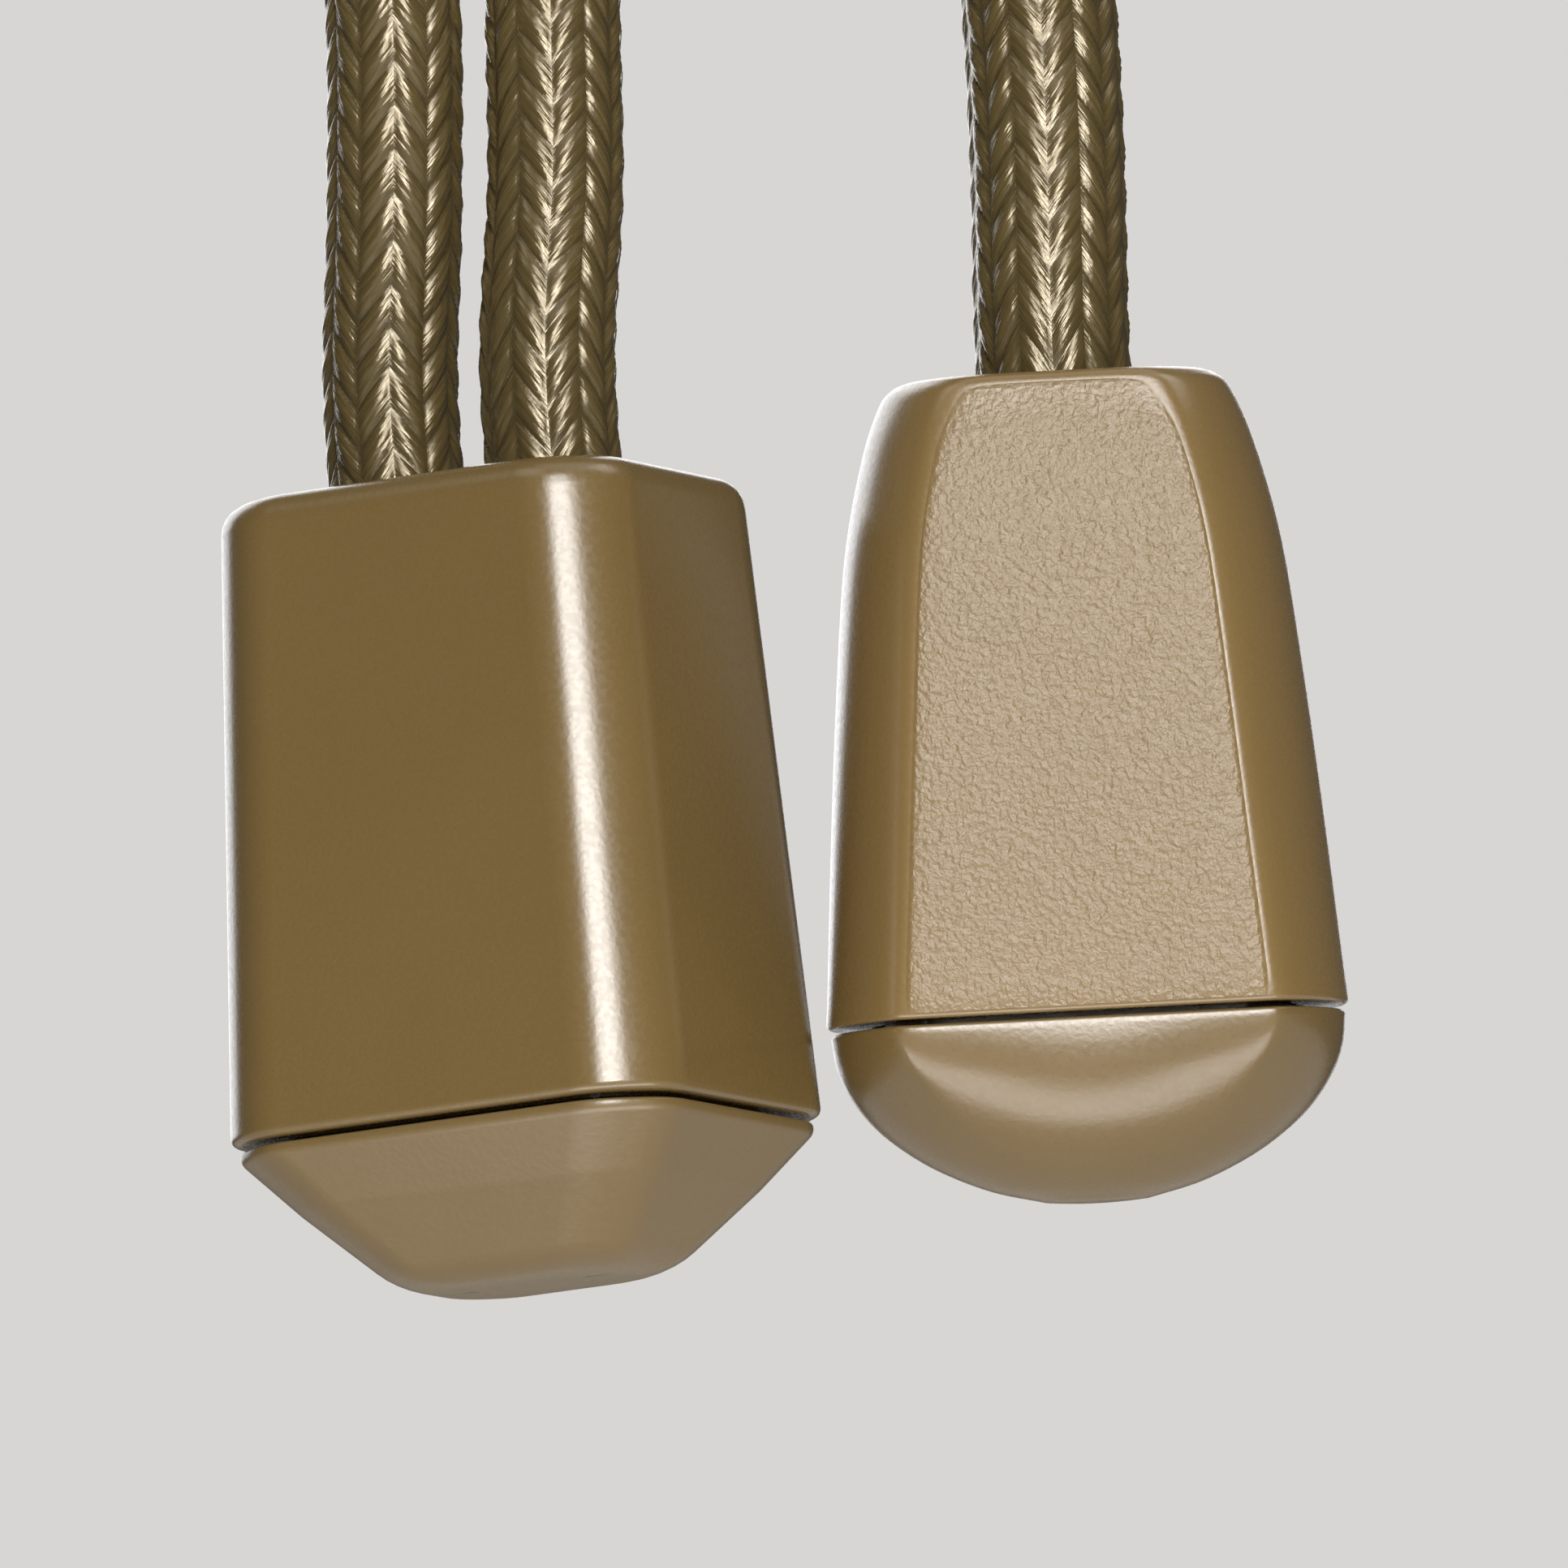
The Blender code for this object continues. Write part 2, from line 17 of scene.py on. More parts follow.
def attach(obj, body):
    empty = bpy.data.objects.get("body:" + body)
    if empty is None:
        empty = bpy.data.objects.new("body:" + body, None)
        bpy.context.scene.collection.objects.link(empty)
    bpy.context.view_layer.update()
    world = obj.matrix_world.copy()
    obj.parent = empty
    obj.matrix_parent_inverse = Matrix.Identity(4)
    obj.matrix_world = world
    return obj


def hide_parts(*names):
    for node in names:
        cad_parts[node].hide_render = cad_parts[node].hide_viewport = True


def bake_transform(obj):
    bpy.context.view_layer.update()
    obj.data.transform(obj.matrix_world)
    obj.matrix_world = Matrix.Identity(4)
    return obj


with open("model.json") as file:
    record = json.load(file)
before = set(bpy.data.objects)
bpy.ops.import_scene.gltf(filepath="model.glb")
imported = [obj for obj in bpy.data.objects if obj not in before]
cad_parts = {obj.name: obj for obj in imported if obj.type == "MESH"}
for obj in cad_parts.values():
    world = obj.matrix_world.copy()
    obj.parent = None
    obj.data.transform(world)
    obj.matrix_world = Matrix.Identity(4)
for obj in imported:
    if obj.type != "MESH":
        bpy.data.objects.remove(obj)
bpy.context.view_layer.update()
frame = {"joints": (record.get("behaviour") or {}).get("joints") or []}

MM = 0.001
random.seed(4)

# Cords: thicknesses, and the braids' columns of yarns and distance between yarns.
DRAWCORD = 4.1
KEEPER = 4.6
DRAWCORD_BRAID = dict(diameter=DRAWCORD, columns=12, pitch=1.28, twist=1)
KEEPER_BRAID = dict(diameter=KEEPER, columns=14, pitch=1.32, twist=0.5)
KNOT_CORD = 4.2  # the keeper cord's thickness where its knots pull it tight
BRAID_COLOURS = ((0.036, 0.025, 0.008), (0.06, 0.042, 0.014), (0.11, 0.083, 0.035))  # groove colour as painted shade, yarn colour, thread colour as painted glint
PORT_PLAY = 0.3
GAP = 0.3  # between the tie and each cord, and between each knot and its shell

# The braid's relief, which its surface and its material share.
YARN_SQUARENESS = 2.5  # a higher power makes the yarns' backs flatter
YARN_DIP = 0.8  # how far a yarn sinks where it goes under its neighbours
PLIES = 3
PLY_DEPTH = 0.35

# The hank.
HANK_RUN = 15.5 * DRAWCORD
FOLD_COLUMNS = (1.5 * DRAWCORD, 2.5 * DRAWCORD)  # inner and outer columns, from the middle
DRAWN_IN = DRAWCORD  # how much nearer the middle each column is at the waist
LAYER = DRAWCORD / 2
TOP_FOLD_Z = -3 * DRAWCORD
LOW_FOLD_Z = TOP_FOLD_Z - HANK_RUN
WAIST_Z = (TOP_FOLD_Z + LOW_FOLD_Z) / 2
DEEPER = 2.0  # how much lower the folds between unlike columns hang
KEEPER_X = 2 * DRAWCORD + GAP + KEEPER / 2  # where the tie binds the keeper cord to the hank
TIE_THICKNESS = 1.2
TIE_HALF_HEIGHT = 5.0

# Places, read off the frame's own joints.
JOINTS = {joint["name"]: joint for joint in frame["joints"]}
SWING_Z = JOINTS["lock_swing"]["pos_m"][2] / MM
LOCK_CORDS_X = 2.4
BELL_CORD_X = JOINTS["bell_swing"]["pos_m"][0] / MM
LOCK_PLACE = Vector((-0.8, 0, SWING_Z - 15.5))
LOCK_TURN = Matrix.Rotation(math.radians(-27), 3, "Z")
BELL_PLACE = Vector(JOINTS["bell_twist"]["pos_m"]) / MM
BELL_TURN = Matrix.Rotation(math.radians(1.1), 3, "Y") @ Matrix.Rotation(math.radians(5), 3, "X")

# The lock.
LOCK_SEAM = (14.8, 12.9)  # width and depth
LOCK_CORNER = 1.6
LOCK_DRAFT = 0.75
LOCK_BODY = 18.9
LOCK_WALL = 1.25
LOCK_ROOF = 1.8
PORT_SPACING = 5.2
LOCK_LID = 4.5  # how far it reaches below the seam
LID_STEP = 0.22
LOCK_KNOT = (5.2, 4.4, 6.7)  # its half sizes

# Both lids.
SEAM_GAP = 0.17
RIM_RISE = 2.5  # how far each lid's rim goes up into its shell

# The darker and lighter tints of each shell's plastic.
LOCK_OLIVE = ((0.106, 0.069, 0.022), (0.12, 0.078, 0.026))
BELL_OLIVE = ((0.135, 0.087, 0.03), (0.15, 0.097, 0.034))

# The bell end.
BELL_BODY = 18.7
BELL_ROOF = 1.9
BELL_WALL = 1.3
FLAT_WALL = 1.1
FLAT_SEAM = 5.2  # the flats' distance from the axis at the seam
BELL_LID = 5.45  # how far it reaches below the seam
BELL_KNOT = (4.9, 3.15, 4.8)  # the half sizes of the knot inside it
KEEPER_KNOT = (4.6, 4.4, 4.2)  # and of the knot at the other end of its cord
BELL_OUTLINE = [  # radius, distance to each flat, and depth below the top
    (4.4, 3.6, 0),
    (4.75, 3.84, 0.14),
    (5.15, 3.98, 0.6),
    (5.75, 4.28, 2.2),
    (6.4, 4.64, 5.1),
    (6.88, 4.91, 9.5),
    (7.25, 5.08, 13.8),
    (7.62, FLAT_SEAM, 18.7),
]
DOME = [  # half width, half depth, and distance below the seam
    (7.5, 5.03, 0),
    (7.4, 5.03, 0.9),
    (7.12, 4.93, 1.7),
    (6.55, 4.62, 2.6),
    (5.75, 4.1, 3.4),
    (4.6, 3.25, 4.2),
    (3.1, 2.15, 4.9),
    (1.5, 1.05, 5.33),
]


# Camera and light.


def aim_camera():
    """Level with the hanging fittings and looking a little up, through a long lens."""
    target = Vector((7.4, 0, LOCK_PLACE.z - 9.2))
    elevation = math.radians(-8)
    roll = math.radians(4.1)
    distance = 1200
    view_side = 45.7
    back = Vector((0, -math.cos(elevation), math.sin(elevation)))
    level = Vector((1, 0, 0))
    rise = back.cross(level)
    right = level * math.cos(roll) - rise * math.sin(roll)
    up = rise * math.cos(roll) + level * math.sin(roll)
    data = bpy.data.cameras.new("camera")
    data.sensor_width = 36
    data.lens = 36 * distance / view_side
    data.clip_start = 0.01
    data.clip_end = 50
    camera = bpy.data.objects.new("camera", data)
    place = Matrix.Translation((target + back * distance) * MM)
    camera.matrix_world = place @ Matrix((right, up, back)).transposed().to_4x4()
    bpy.context.scene.collection.objects.link(camera)
    bpy.context.scene.camera = camera


def softbox(name, azimuth, elevation, distance, side, power, colour):
    """A rectangular lamp that faces the two fittings, with its distance and sides in metres.

    Azimuth 0 is in front of them and 90 to their right.
    """
    a, e = math.radians(azimuth), math.radians(elevation)
    back = Vector((math.sin(a) * math.cos(e), -math.cos(a) * math.cos(e), math.sin(e)))
    data = bpy.data.lights.new(name, "AREA")
    data.shape = "RECTANGLE"
    data.size, data.size_y = side
    data.energy = power
    data.color = colour
    lamp = bpy.data.objects.new(name, data)
    lamp.location = Vector((6, 0, LOCK_PLACE.z - 10)) * MM + back * distance
    lamp.rotation_euler = back.to_track_quat("Z", "Y").to_euler()
    lamp.visible_camera = False
    bpy.context.scene.collection.objects.link(lamp)


def studio():
    """The lamps, the backdrop and a pale floor."""
    softbox("key", 9, 9, 1.1, (0.6, 0.34), 13.0, (1, 0.98, 0.95))
    softbox("high", 9, 30, 1.1, (0.5, 0.3), 4.5, (1, 0.98, 0.95))
    softbox("left", -42, 52, 0.9, (0.5, 0.4), 0.8, (1, 0.98, 0.95))
    softbox("right", 84, 48, 0.9, (0.4, 0.4), 1.0, (1, 0.98, 0.95))
    softbox("back", 195, 25, 1.0, (1.0, 0.9), 7.5, (0.97, 0.98, 1))
    softbox("top", 60, 72, 0.9, (0.8, 0.8), 1.5, (0.97, 0.98, 1))
    softbox("bounce", 0, -60, 0.08, (0.12, 0.042), 0.058, (1, 0.95, 0.92))
    sky()
    bpy.context.scene.view_settings.view_transform = "Standard"
    bm = bmesh.new()
    bmesh.ops.create_circle(bm, cap_ends=True, segments=96, radius=0.4)
    bmesh.ops.translate(bm, vec=(0, 0, -0.21), verts=bm.verts)
    mesh = bpy.data.meshes.new("floor")
    bm.to_mesh(mesh)
    bm.free()
    floor = bpy.data.objects.new("floor", mesh)
    bpy.context.scene.collection.objects.link(floor)
    shader = Shader("floor_paint")
    pale = shader.mix(shader.noise(25, detail=3), (0.58, 0.57, 0.55), (0.62, 0.61, 0.59))
    shader.finish(pale, roughness=0.85)
    mesh.materials.append(shader.material)


def sky():
    """A pale backdrop, and a dimmer even light from all round."""
    world = bpy.data.worlds.new("studio")
    world.use_nodes = True
    tree = world.node_tree
    even = tree.nodes["Background"]
    even.inputs["Color"].default_value = (0.86, 0.85, 0.83, 1)
    even.inputs["Strength"].default_value = 0.09
    backdrop = tree.nodes.new("ShaderNodeBackground")
    backdrop.inputs["Color"].default_value = (0.8, 0.79, 0.77, 1)
    backdrop.inputs["Strength"].default_value = 0.85
    seen = tree.nodes.new("ShaderNodeLightPath").outputs["Is Camera Ray"]
    chosen = tree.nodes.new("ShaderNodeMixShader")
    tree.links.new(seen, chosen.inputs[0])
    tree.links.new(even.outputs[0], chosen.inputs[1])
    tree.links.new(backdrop.outputs[0], chosen.inputs[2])
    tree.links.new(chosen.outputs[0], tree.nodes["World Output"].inputs["Surface"])
    bpy.context.scene.world = world


# Materials.


SOCKETS = {
    "sheen_weight": "Sheen Weight",
    "sheen_roughness": "Sheen Roughness",
    "specular_ior_level": "Specular IOR Level",
    "specular_tint": "Specular Tint",
}


class Shader:
    """A Principled material whose inputs are built from small node helpers."""

    def __init__(self, name):
        self.material = bpy.data.materials.new(name)
        self.material.use_nodes = True
        self.tree = self.material.node_tree
        self.principled = self.tree.nodes["Principled BSDF"]
        self.place = self.tree.nodes.new("ShaderNodeTexCoord").outputs["Object"]

    def node(self, kind, **settings):
        made = self.tree.nodes.new(kind)
        for key, value in settings.items():
            setattr(made, key, value)
        return made

    def plug(self, socket, value):
        if isinstance(value, bpy.types.NodeSocket):
            self.tree.links.new(value, socket)
        elif isinstance(value, tuple) and len(value) == 3 and socket.type == "RGBA":
            socket.default_value = (*value, 1)
        else:
            socket.default_value = value

    def math(self, operation, *values):
        made = self.node("ShaderNodeMath", operation=operation)
        for socket, value in zip(made.inputs, values):
            self.plug(socket, value)
        return made.outputs[0]

    def mix(self, factor, low, high):
        made = self.node("ShaderNodeMix", data_type="RGBA")
        self.plug(made.inputs["Factor"], factor)
        self.plug(made.inputs["A"], low)
        self.plug(made.inputs["B"], high)
        return made.outputs["Result"]

    def span(self, value, low, high, to_low=0.0, to_high=1.0):
        made = self.node("ShaderNodeMapRange", interpolation_type="SMOOTHSTEP")
        for socket, given in zip(made.inputs, (value, low, high, to_low, to_high)):
            self.plug(socket, given)
        return made.outputs["Result"]

    def noise(self, per_metre, detail=2.0, stretch=None, at=None):
        made = self.node("ShaderNodeTexNoise")
        made.inputs["Scale"].default_value = per_metre
        made.inputs["Detail"].default_value = detail
        where = at or self.place
        if stretch:
            shift = self.node("ShaderNodeMapping")
            self.plug(shift.inputs["Vector"], where)
            shift.inputs["Scale"].default_value = stretch
            where = shift.outputs["Vector"]
        self.plug(made.inputs["Vector"], where)
        return made.outputs["Fac"]

    def combined(self, *parts):
        made = self.node("ShaderNodeCombineXYZ")
        for socket, value in zip(made.inputs, parts):
            self.plug(socket, value)
        return made.outputs[0]

    def uv(self):
        """The surface's own u and v."""
        split = self.node("ShaderNodeSeparateXYZ")
        self.plug(split.inputs[0], self.node("ShaderNodeTexCoord").outputs["UV"])
        return split.outputs["X"], split.outputs["Y"]

    def bump(self, height, depth_mm, strength=1.0, under=None):
        made = self.node("ShaderNodeBump")
        made.inputs["Strength"].default_value = strength
        made.inputs["Distance"].default_value = depth_mm * MM
        self.plug(made.inputs["Height"], height)
        if under:
            self.plug(made.inputs["Normal"], under)
        return made.outputs["Normal"]

    def finish(self, colour, roughness, normal=None, **fixed):
        self.plug(self.principled.inputs["Base Color"], colour)
        self.plug(self.principled.inputs["Roughness"], roughness)
        if normal:
            self.plug(self.principled.inputs["Normal"], normal)
        for name, value in fixed.items():
            self.plug(self.principled.inputs[SOCKETS[name]], value)
        return self.material


def plastic(name, colours, roughness, grain, flat_grain=0.0):
    """Moulded plastic with a spark-eroded grain. flat_grain coarsens the faces that look ahead or back."""
    dark, light = colours
    shader = Shader(name)
    colour = shader.mix(shader.noise(160, detail=2), dark, light)
    pits = shader.noise(5200, detail=2)
    normal = shader.bump(pits, 0.014, grain, shader.bump(shader.noise(240, detail=1), 0.08, 0.2))
    rough = shader.span(pits, 0.3, 0.7, roughness + 0.03, roughness - 0.03)
    if flat_grain:
        split = shader.node("ShaderNodeSeparateXYZ")
        shader.plug(split.inputs[0], shader.node("ShaderNodeTexCoord").outputs["Normal"])
        on_flat = shader.span(shader.math("ABSOLUTE", split.outputs["Y"]), 0.982, 0.996)
        eroded = shader.math("MULTIPLY", shader.noise(5400, detail=4), on_flat)
        normal = shader.bump(eroded, 0.08, flat_grain, normal)
        rough = shader.math("ADD", rough, shader.math("MULTIPLY", on_flat, 0.16))
    return shader.finish(colour, rough, normal, specular_ior_level=0.8)


def braid(name, pattern, colours):
    """Polyester braid: rows of slanted yarns that meet in Vs. u runs round the cord and v along it, in mm."""
    groove, yarn_colour, thread_glint_colour = colours
    shader = Shader(name)
    u, v = shader.uv()
    across = shader.math("MULTIPLY", u, pattern["columns"])
    column = shader.math("FLOOR", across)
    x = shader.math("SUBTRACT", shader.math("SUBTRACT", across, column), 0.5)
    odd = shader.math("MODULO", column, 2)
    side = shader.math("SUBTRACT", 1, shader.math("MULTIPLY", odd, 2))
    slant = shader.math("MULTIPLY", x, side)
    along = shader.math("ADD", shader.math("DIVIDE", v, pattern["pitch"]), slant)
    yarn = shader.math("FLOOR", along)
    part = shader.math("SUBTRACT", along, yarn)
    edge = shader.math("ABSOLUTE", shader.math("SUBTRACT", shader.math("MULTIPLY", part, 2), 1))
    end = shader.math("MULTIPLY", shader.math("ABSOLUTE", x), 2)
    crown = shader.math("SUBTRACT", 1, shader.math("POWER", edge, YARN_SQUARENESS))
    ends = shader.math("MULTIPLY", shader.math("POWER", end, 2), YARN_DIP)
    crown = shader.math("MULTIPLY", crown, shader.math("SUBTRACT", 1, ends))
    plies = shader.math("ABSOLUTE", shader.math("SINE", shader.math("MULTIPLY", part, PLIES * math.pi)))
    plies = shader.math("ADD", 1 - PLY_DEPTH, shader.math("MULTIPLY", plies, PLY_DEPTH))
    crown = shader.math("MULTIPLY", crown, plies)
    # Filaments lie along each yarn.
    across_yarn = shader.math("MULTIPLY", part, 9)
    along_yarn = shader.math("MULTIPLY", x, 1.4)
    each_yarn = shader.math("ADD", shader.math("MULTIPLY", yarn, 3.7), column)
    filament = shader.noise(1.6, detail=3, at=shader.combined(across_yarn, along_yarn, each_yarn))
    pick = shader.node("ShaderNodeTexWhiteNoise", noise_dimensions="2D")
    shader.plug(pick.inputs["Vector"], shader.combined(column, yarn))
    # Painted shade: the colour darkens to the groove colour where the relief is low, in the grooves, between
    # plies and where a yarn dips under its neighbours.
    colour = shader.mix(shader.span(crown, 0.05, 0.6), groove, yarn_colour)
    # Painted glint: lighter streaks of the thread colour along the filaments stand in for the lamps' glints
    # on the yarns.
    painted_glint = shader.math("MULTIPLY", shader.span(filament, 0.45, 0.7), 0.5)
    colour = shader.mix(painted_glint, colour, thread_glint_colour)
    colour = shader.mix(shader.math("MULTIPLY", pick.outputs["Value"], 0.3), colour, yarn_colour)
    height = shader.math("ADD", crown, shader.math("MULTIPLY", filament, 0.4))
    normal = shader.bump(height, 0.09, 0.6)
    rough = shader.span(filament, 0.3, 0.7, 0.27, 0.15)
    return shader.finish(colour, rough, normal, specular_ior_level=1.0, specular_tint=(1, 0.88, 0.68))


def melted(name):
    """Cord that was melted to a dark, blotchy bead."""
    shader = Shader(name)
    blotch = shader.noise(700, detail=3)
    colour = shader.mix(blotch, (0.05, 0.032, 0.014), (0.12, 0.085, 0.04))
    return shader.finish(colour, shader.span(blotch, 0.3, 0.7, 0.22, 0.5), shader.bump(blotch, 0.15, 0.6))


def strap_cloth(name):
    """A narrow woven strap: fine ribs across it under a nap of tiny loops."""
    shader = Shader(name)
    u, v = shader.uv()
    ribs = shader.math("SINE", shader.math("MULTIPLY", u, 2 * math.pi / 0.42))
    warp = shader.math("SINE", shader.math("MULTIPLY", v, 2 * math.pi / 0.5))
    weave = shader.math("MULTIPLY", ribs, warp)
    nap = shader.noise(4200, detail=4)
    colour = shader.mix(nap, (0.045, 0.036, 0.018), (0.15, 0.118, 0.06))
    colour = shader.mix(shader.span(weave, -0.2, 0.9, 0.0, 0.35), colour, (0.19, 0.15, 0.08))
    under = shader.bump(weave, 0.12, 0.5)
    return shader.finish(
        colour, 0.9, shader.bump(nap, 0.18, 0.8, under), sheen_weight=0.5, sheen_roughness=0.5
    )


# Shapes.


def fillet(corners, steps=6):
    """A line through (x, z, radius) corners, with each corner that has a radius rounded off."""
    points = []
    for i, (x, z, radius) in enumerate(corners):
        here = Vector((x, z))
        if not radius or i in (0, len(corners) - 1):
            points.append(here)
            continue
        before = Vector(corners[i - 1][:2]) - here
        after = Vector(corners[i + 1][:2]) - here
        turn = math.pi - before.angle(after)
        reach = min(radius * math.tan(turn / 2), 0.49 * before.length, 0.49 * after.length)
        start, end = here + before.normalized() * reach, here + after.normalized() * reach
        for k in range(steps + 1):
            t = k / steps
            points.append(start * (1 - t) ** 2 + here * 2 * t * (1 - t) + end * t**2)
    return points


def through(points, per_gap):
    """A smooth line through the points."""
    points = [Vector(p) for p in points]
    ends = [2 * points[0] - points[1], *points, 2 * points[-1] - points[-2]]
    line = []
    for a, b, c, d in zip(ends, ends[1:], ends[2:], ends[3:]):
        for i in range(per_gap):
            t = i / per_gap
            bend = (2 * a - 5 * b + 4 * c - d) * t**2 + (3 * b - a - 3 * c + d) * t**3
            line.append(0.5 * (2 * b + (c - a) * t + bend))
    line.append(points[-1])
    return line


def shaded(mesh, angle):
    """Smooth shading, with edges sharper than the angle in degrees left sharp."""
    mesh.polygons.foreach_set("use_smooth", [True] * len(mesh.polygons))
    mesh.set_sharp_from_angle(angle=math.radians(angle))
    mesh.update()


def piece(name, mesh, material, body, slot, *nodes):
    """A finished piece: it wears the material, rides on the body and stands for the CAD nodes."""
    made = bpy.data.objects.new(name, mesh)
    bpy.context.scene.collection.objects.link(made)
    made.data.materials.append(material)
    if body:
        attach(made, body)
    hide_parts(*nodes)
    return made


def loft(name, rings, place, turn, around=False, first_cap=False, last_cap=False, smooth_angle=35):
    """Quads between neighbouring rings of points, placed in the row frame.

    around joins the last ring to the first.
    """
    verts = [(place + turn @ Vector(p)) * MM for ring in rings for p in ring]
    count = len(rings[0])
    faces = []
    for r in range(len(rings) if around else len(rings) - 1):
        low, high = r * count, ((r + 1) % len(rings)) * count
        for i in range(count):
            j = (i + 1) % count
            faces.append((low + i, low + j, high + j, high + i))
    if first_cap:
        faces.append(tuple(range(count)))
    if last_cap:
        faces.append(tuple((len(rings) - 1) * count + i for i in range(count)))
    mesh = bpy.data.meshes.new(name)
    mesh.from_pydata(verts, [], faces)
    bm = bmesh.new()
    bm.from_mesh(mesh)
    bmesh.ops.recalc_face_normals(bm, faces=bm.faces)
    bm.to_mesh(mesh)
    bm.free()
    shaded(mesh, smooth_angle)
    return mesh


def even_normals(made):
    """Large flat faces keep their own normals beside their rounded edges."""
    step = made.modifiers.new("even normals", "WEIGHTED_NORMAL")
    step.keep_sharp = True


def turned(profile, x=0.0, y=0.0, count=64):
    """Rings round an upright axis for a profile of (radius, z)."""
    turns = [2 * math.pi * i / count for i in range(count)]
    return [[(x + r * math.cos(a), y + r * math.sin(a), z) for a in turns] for r, z in profile]


# The lock.


def lock_outline(z):
    """The housing's width and depth at a height, which its draft draws in towards the roof."""
    inward = LOCK_DRAFT * (1 + max(z, -LOCK_BODY) / LOCK_BODY)
    return LOCK_SEAM[0] - 2 * inward, LOCK_SEAM[1] - 2 * inward


def chamfered(outline, inward, z, cut, rounding, steps=6):
    """A rectangle's outline moved inward, with its corners cut off and the cuts' own corners rounded."""
    half_x, half_y = outline[0] / 2 - inward, outline[1] / 2 - inward
    corners = []
    for sx, sy in ((1, 1), (-1, 1), (-1, -1), (1, -1)):
        pair = [(sx * half_x, sy * (half_y - cut)), (sx * (half_x - cut), sy * half_y)]
        corners += pair if sx * sy > 0 else pair[::-1]
    ring = []
    for i, corner_point in enumerate(corners):
        here = Vector(corner_point)
        before = (Vector(corners[i - 1]) - here).normalized()
        after = (Vector(corners[(i + 1) % 8]) - here).normalized()
        reach = rounding * math.tan(math.radians(22.5))
        for k in range(steps + 1):
            t = k / steps
            at = here + before * reach * (1 - t) ** 2 + after * reach * t**2
            ring.append((at.x, at.y, z))
    return ring


def ports(housing):
    """Tools that drill the two ports through the roof, with a rounded lip at the top of each."""
    lip = 0.4
    bore = DRAWCORD / 2 + PORT_PLAY
    profile = [(bore + lip, 1)]
    for k in range(8):
        a = math.pi / 2 * k / 7
        profile.append((bore + lip * (1 - math.sin(a)), -lip * (1 - math.cos(a))))
    profile.append((bore, -LOCK_ROOF - 1))
    tools = []
    for way in (-1, 1):
        rings = turned(profile, x=way * PORT_SPACING / 2)
        drill = loft("port", rings, Vector(), Matrix.Identity(3), first_cap=True, last_cap=True)
        tool = bpy.data.objects.new("port", drill)
        bpy.context.scene.collection.objects.link(tool)
        step = housing.modifiers.new("port", "BOOLEAN")
        step.object = tool
        step.solver = "EXACT"
        tools.append(tool)
    return tools


def lock_housing(material):
    outside = [(3.0, 0, 0), (0, 0, 0.95), (0, -LOCK_BODY, 0.3), (LOCK_WALL, -LOCK_BODY, 0.15)]
    inside = [(LOCK_WALL, -LOCK_ROOF, 0.5), (3.0, -LOCK_ROOF, 0)]
    rings = []
    for inward, z in fillet(outside + inside):
        within = inward > LOCK_WALL - 0.01 and z < -1
        cut = LOCK_CORNER - (0.5 if within else 0.25 * inward)
        rings.append(chamfered(lock_outline(z), inward, z, cut, 1.5 * cut))
    shell = loft("lock_housing", rings, Vector(), Matrix.Identity(3), first_cap=True, last_cap=True)
    blank = bpy.data.objects.new("lock_housing", shell)
    bpy.context.scene.collection.objects.link(blank)
    tools = ports(blank)
    bpy.context.view_layer.update()
    drilled = blank.evaluated_get(bpy.context.evaluated_depsgraph_get())
    mesh = bpy.data.meshes.new_from_object(drilled)
    for used in [*tools, blank]:
        bpy.data.objects.remove(used)
    mesh.name = "lock_housing_shell"
    mesh.transform(Matrix.Translation(LOCK_PLACE * MM) @ LOCK_TURN.to_4x4())
    shaded(mesh, 40)
    even_normals(piece("lock_housing_shell", mesh, material, "lock_shell", "lock_shell", "lock_housing"))


def lock_lid(material):
    seam = -LOCK_BODY - SEAM_GAP
    foot_z = -LOCK_BODY - 3.4
    bottom = -LOCK_BODY - LOCK_LID
    play = 0.37
    rim_in = LOCK_WALL + play
    rim_top = -LOCK_BODY + RIM_RISE
    bead = rim_top - 1.0
    hollow = rim_in + 0.9
    inside = [
        (hollow + 1.2, foot_z + 1.2, 0),
        (hollow, seam + 0.4, 0.6),
        (hollow, rim_top, 0.2),
        (rim_in, rim_top, 0.25),
        (rim_in, bead + 0.35, 0.1),
        (rim_in - 0.14, bead, 0.2),
        (rim_in, bead - 0.35, 0.1),
        (rim_in, seam, 0),
    ]
    outside = [
        (rim_in - 0.1, seam, 0),
        (LID_STEP, seam, 0.12),
        (LID_STEP, seam - 0.3, 0.5),
        (LID_STEP + 1.3, seam - 1.9, 4.0),
        (LID_STEP + 3.5, bottom + 0.05, 2.4),
        (LOCK_SEAM[1] / 2 - 0.9, bottom, 0),
    ]
    outline = lock_outline(-LOCK_BODY)
    rings = [chamfered(outline, inward, z, 1.1, 0.9) for inward, z in fillet(inside)]
    for inward, z in fillet(outside):
        cut = LOCK_CORNER * (1 - inward / LOCK_SEAM[1])
        rings.append(chamfered(outline, inward, z, cut, 1.4 * cut))
    mesh = loft("lock_lid_cap", rings, LOCK_PLACE, LOCK_TURN, first_cap=True, last_cap=True)
    even_normals(piece("lock_lid_cap", mesh, material, "lock_cap", "lock_lid", "lock_lid"))


# The bell end.


def softened(a, b, width):
    """The smaller of two lengths, eased over where they cross."""
    return (a + b - math.sqrt((a - b) ** 2 + width**2)) / 2


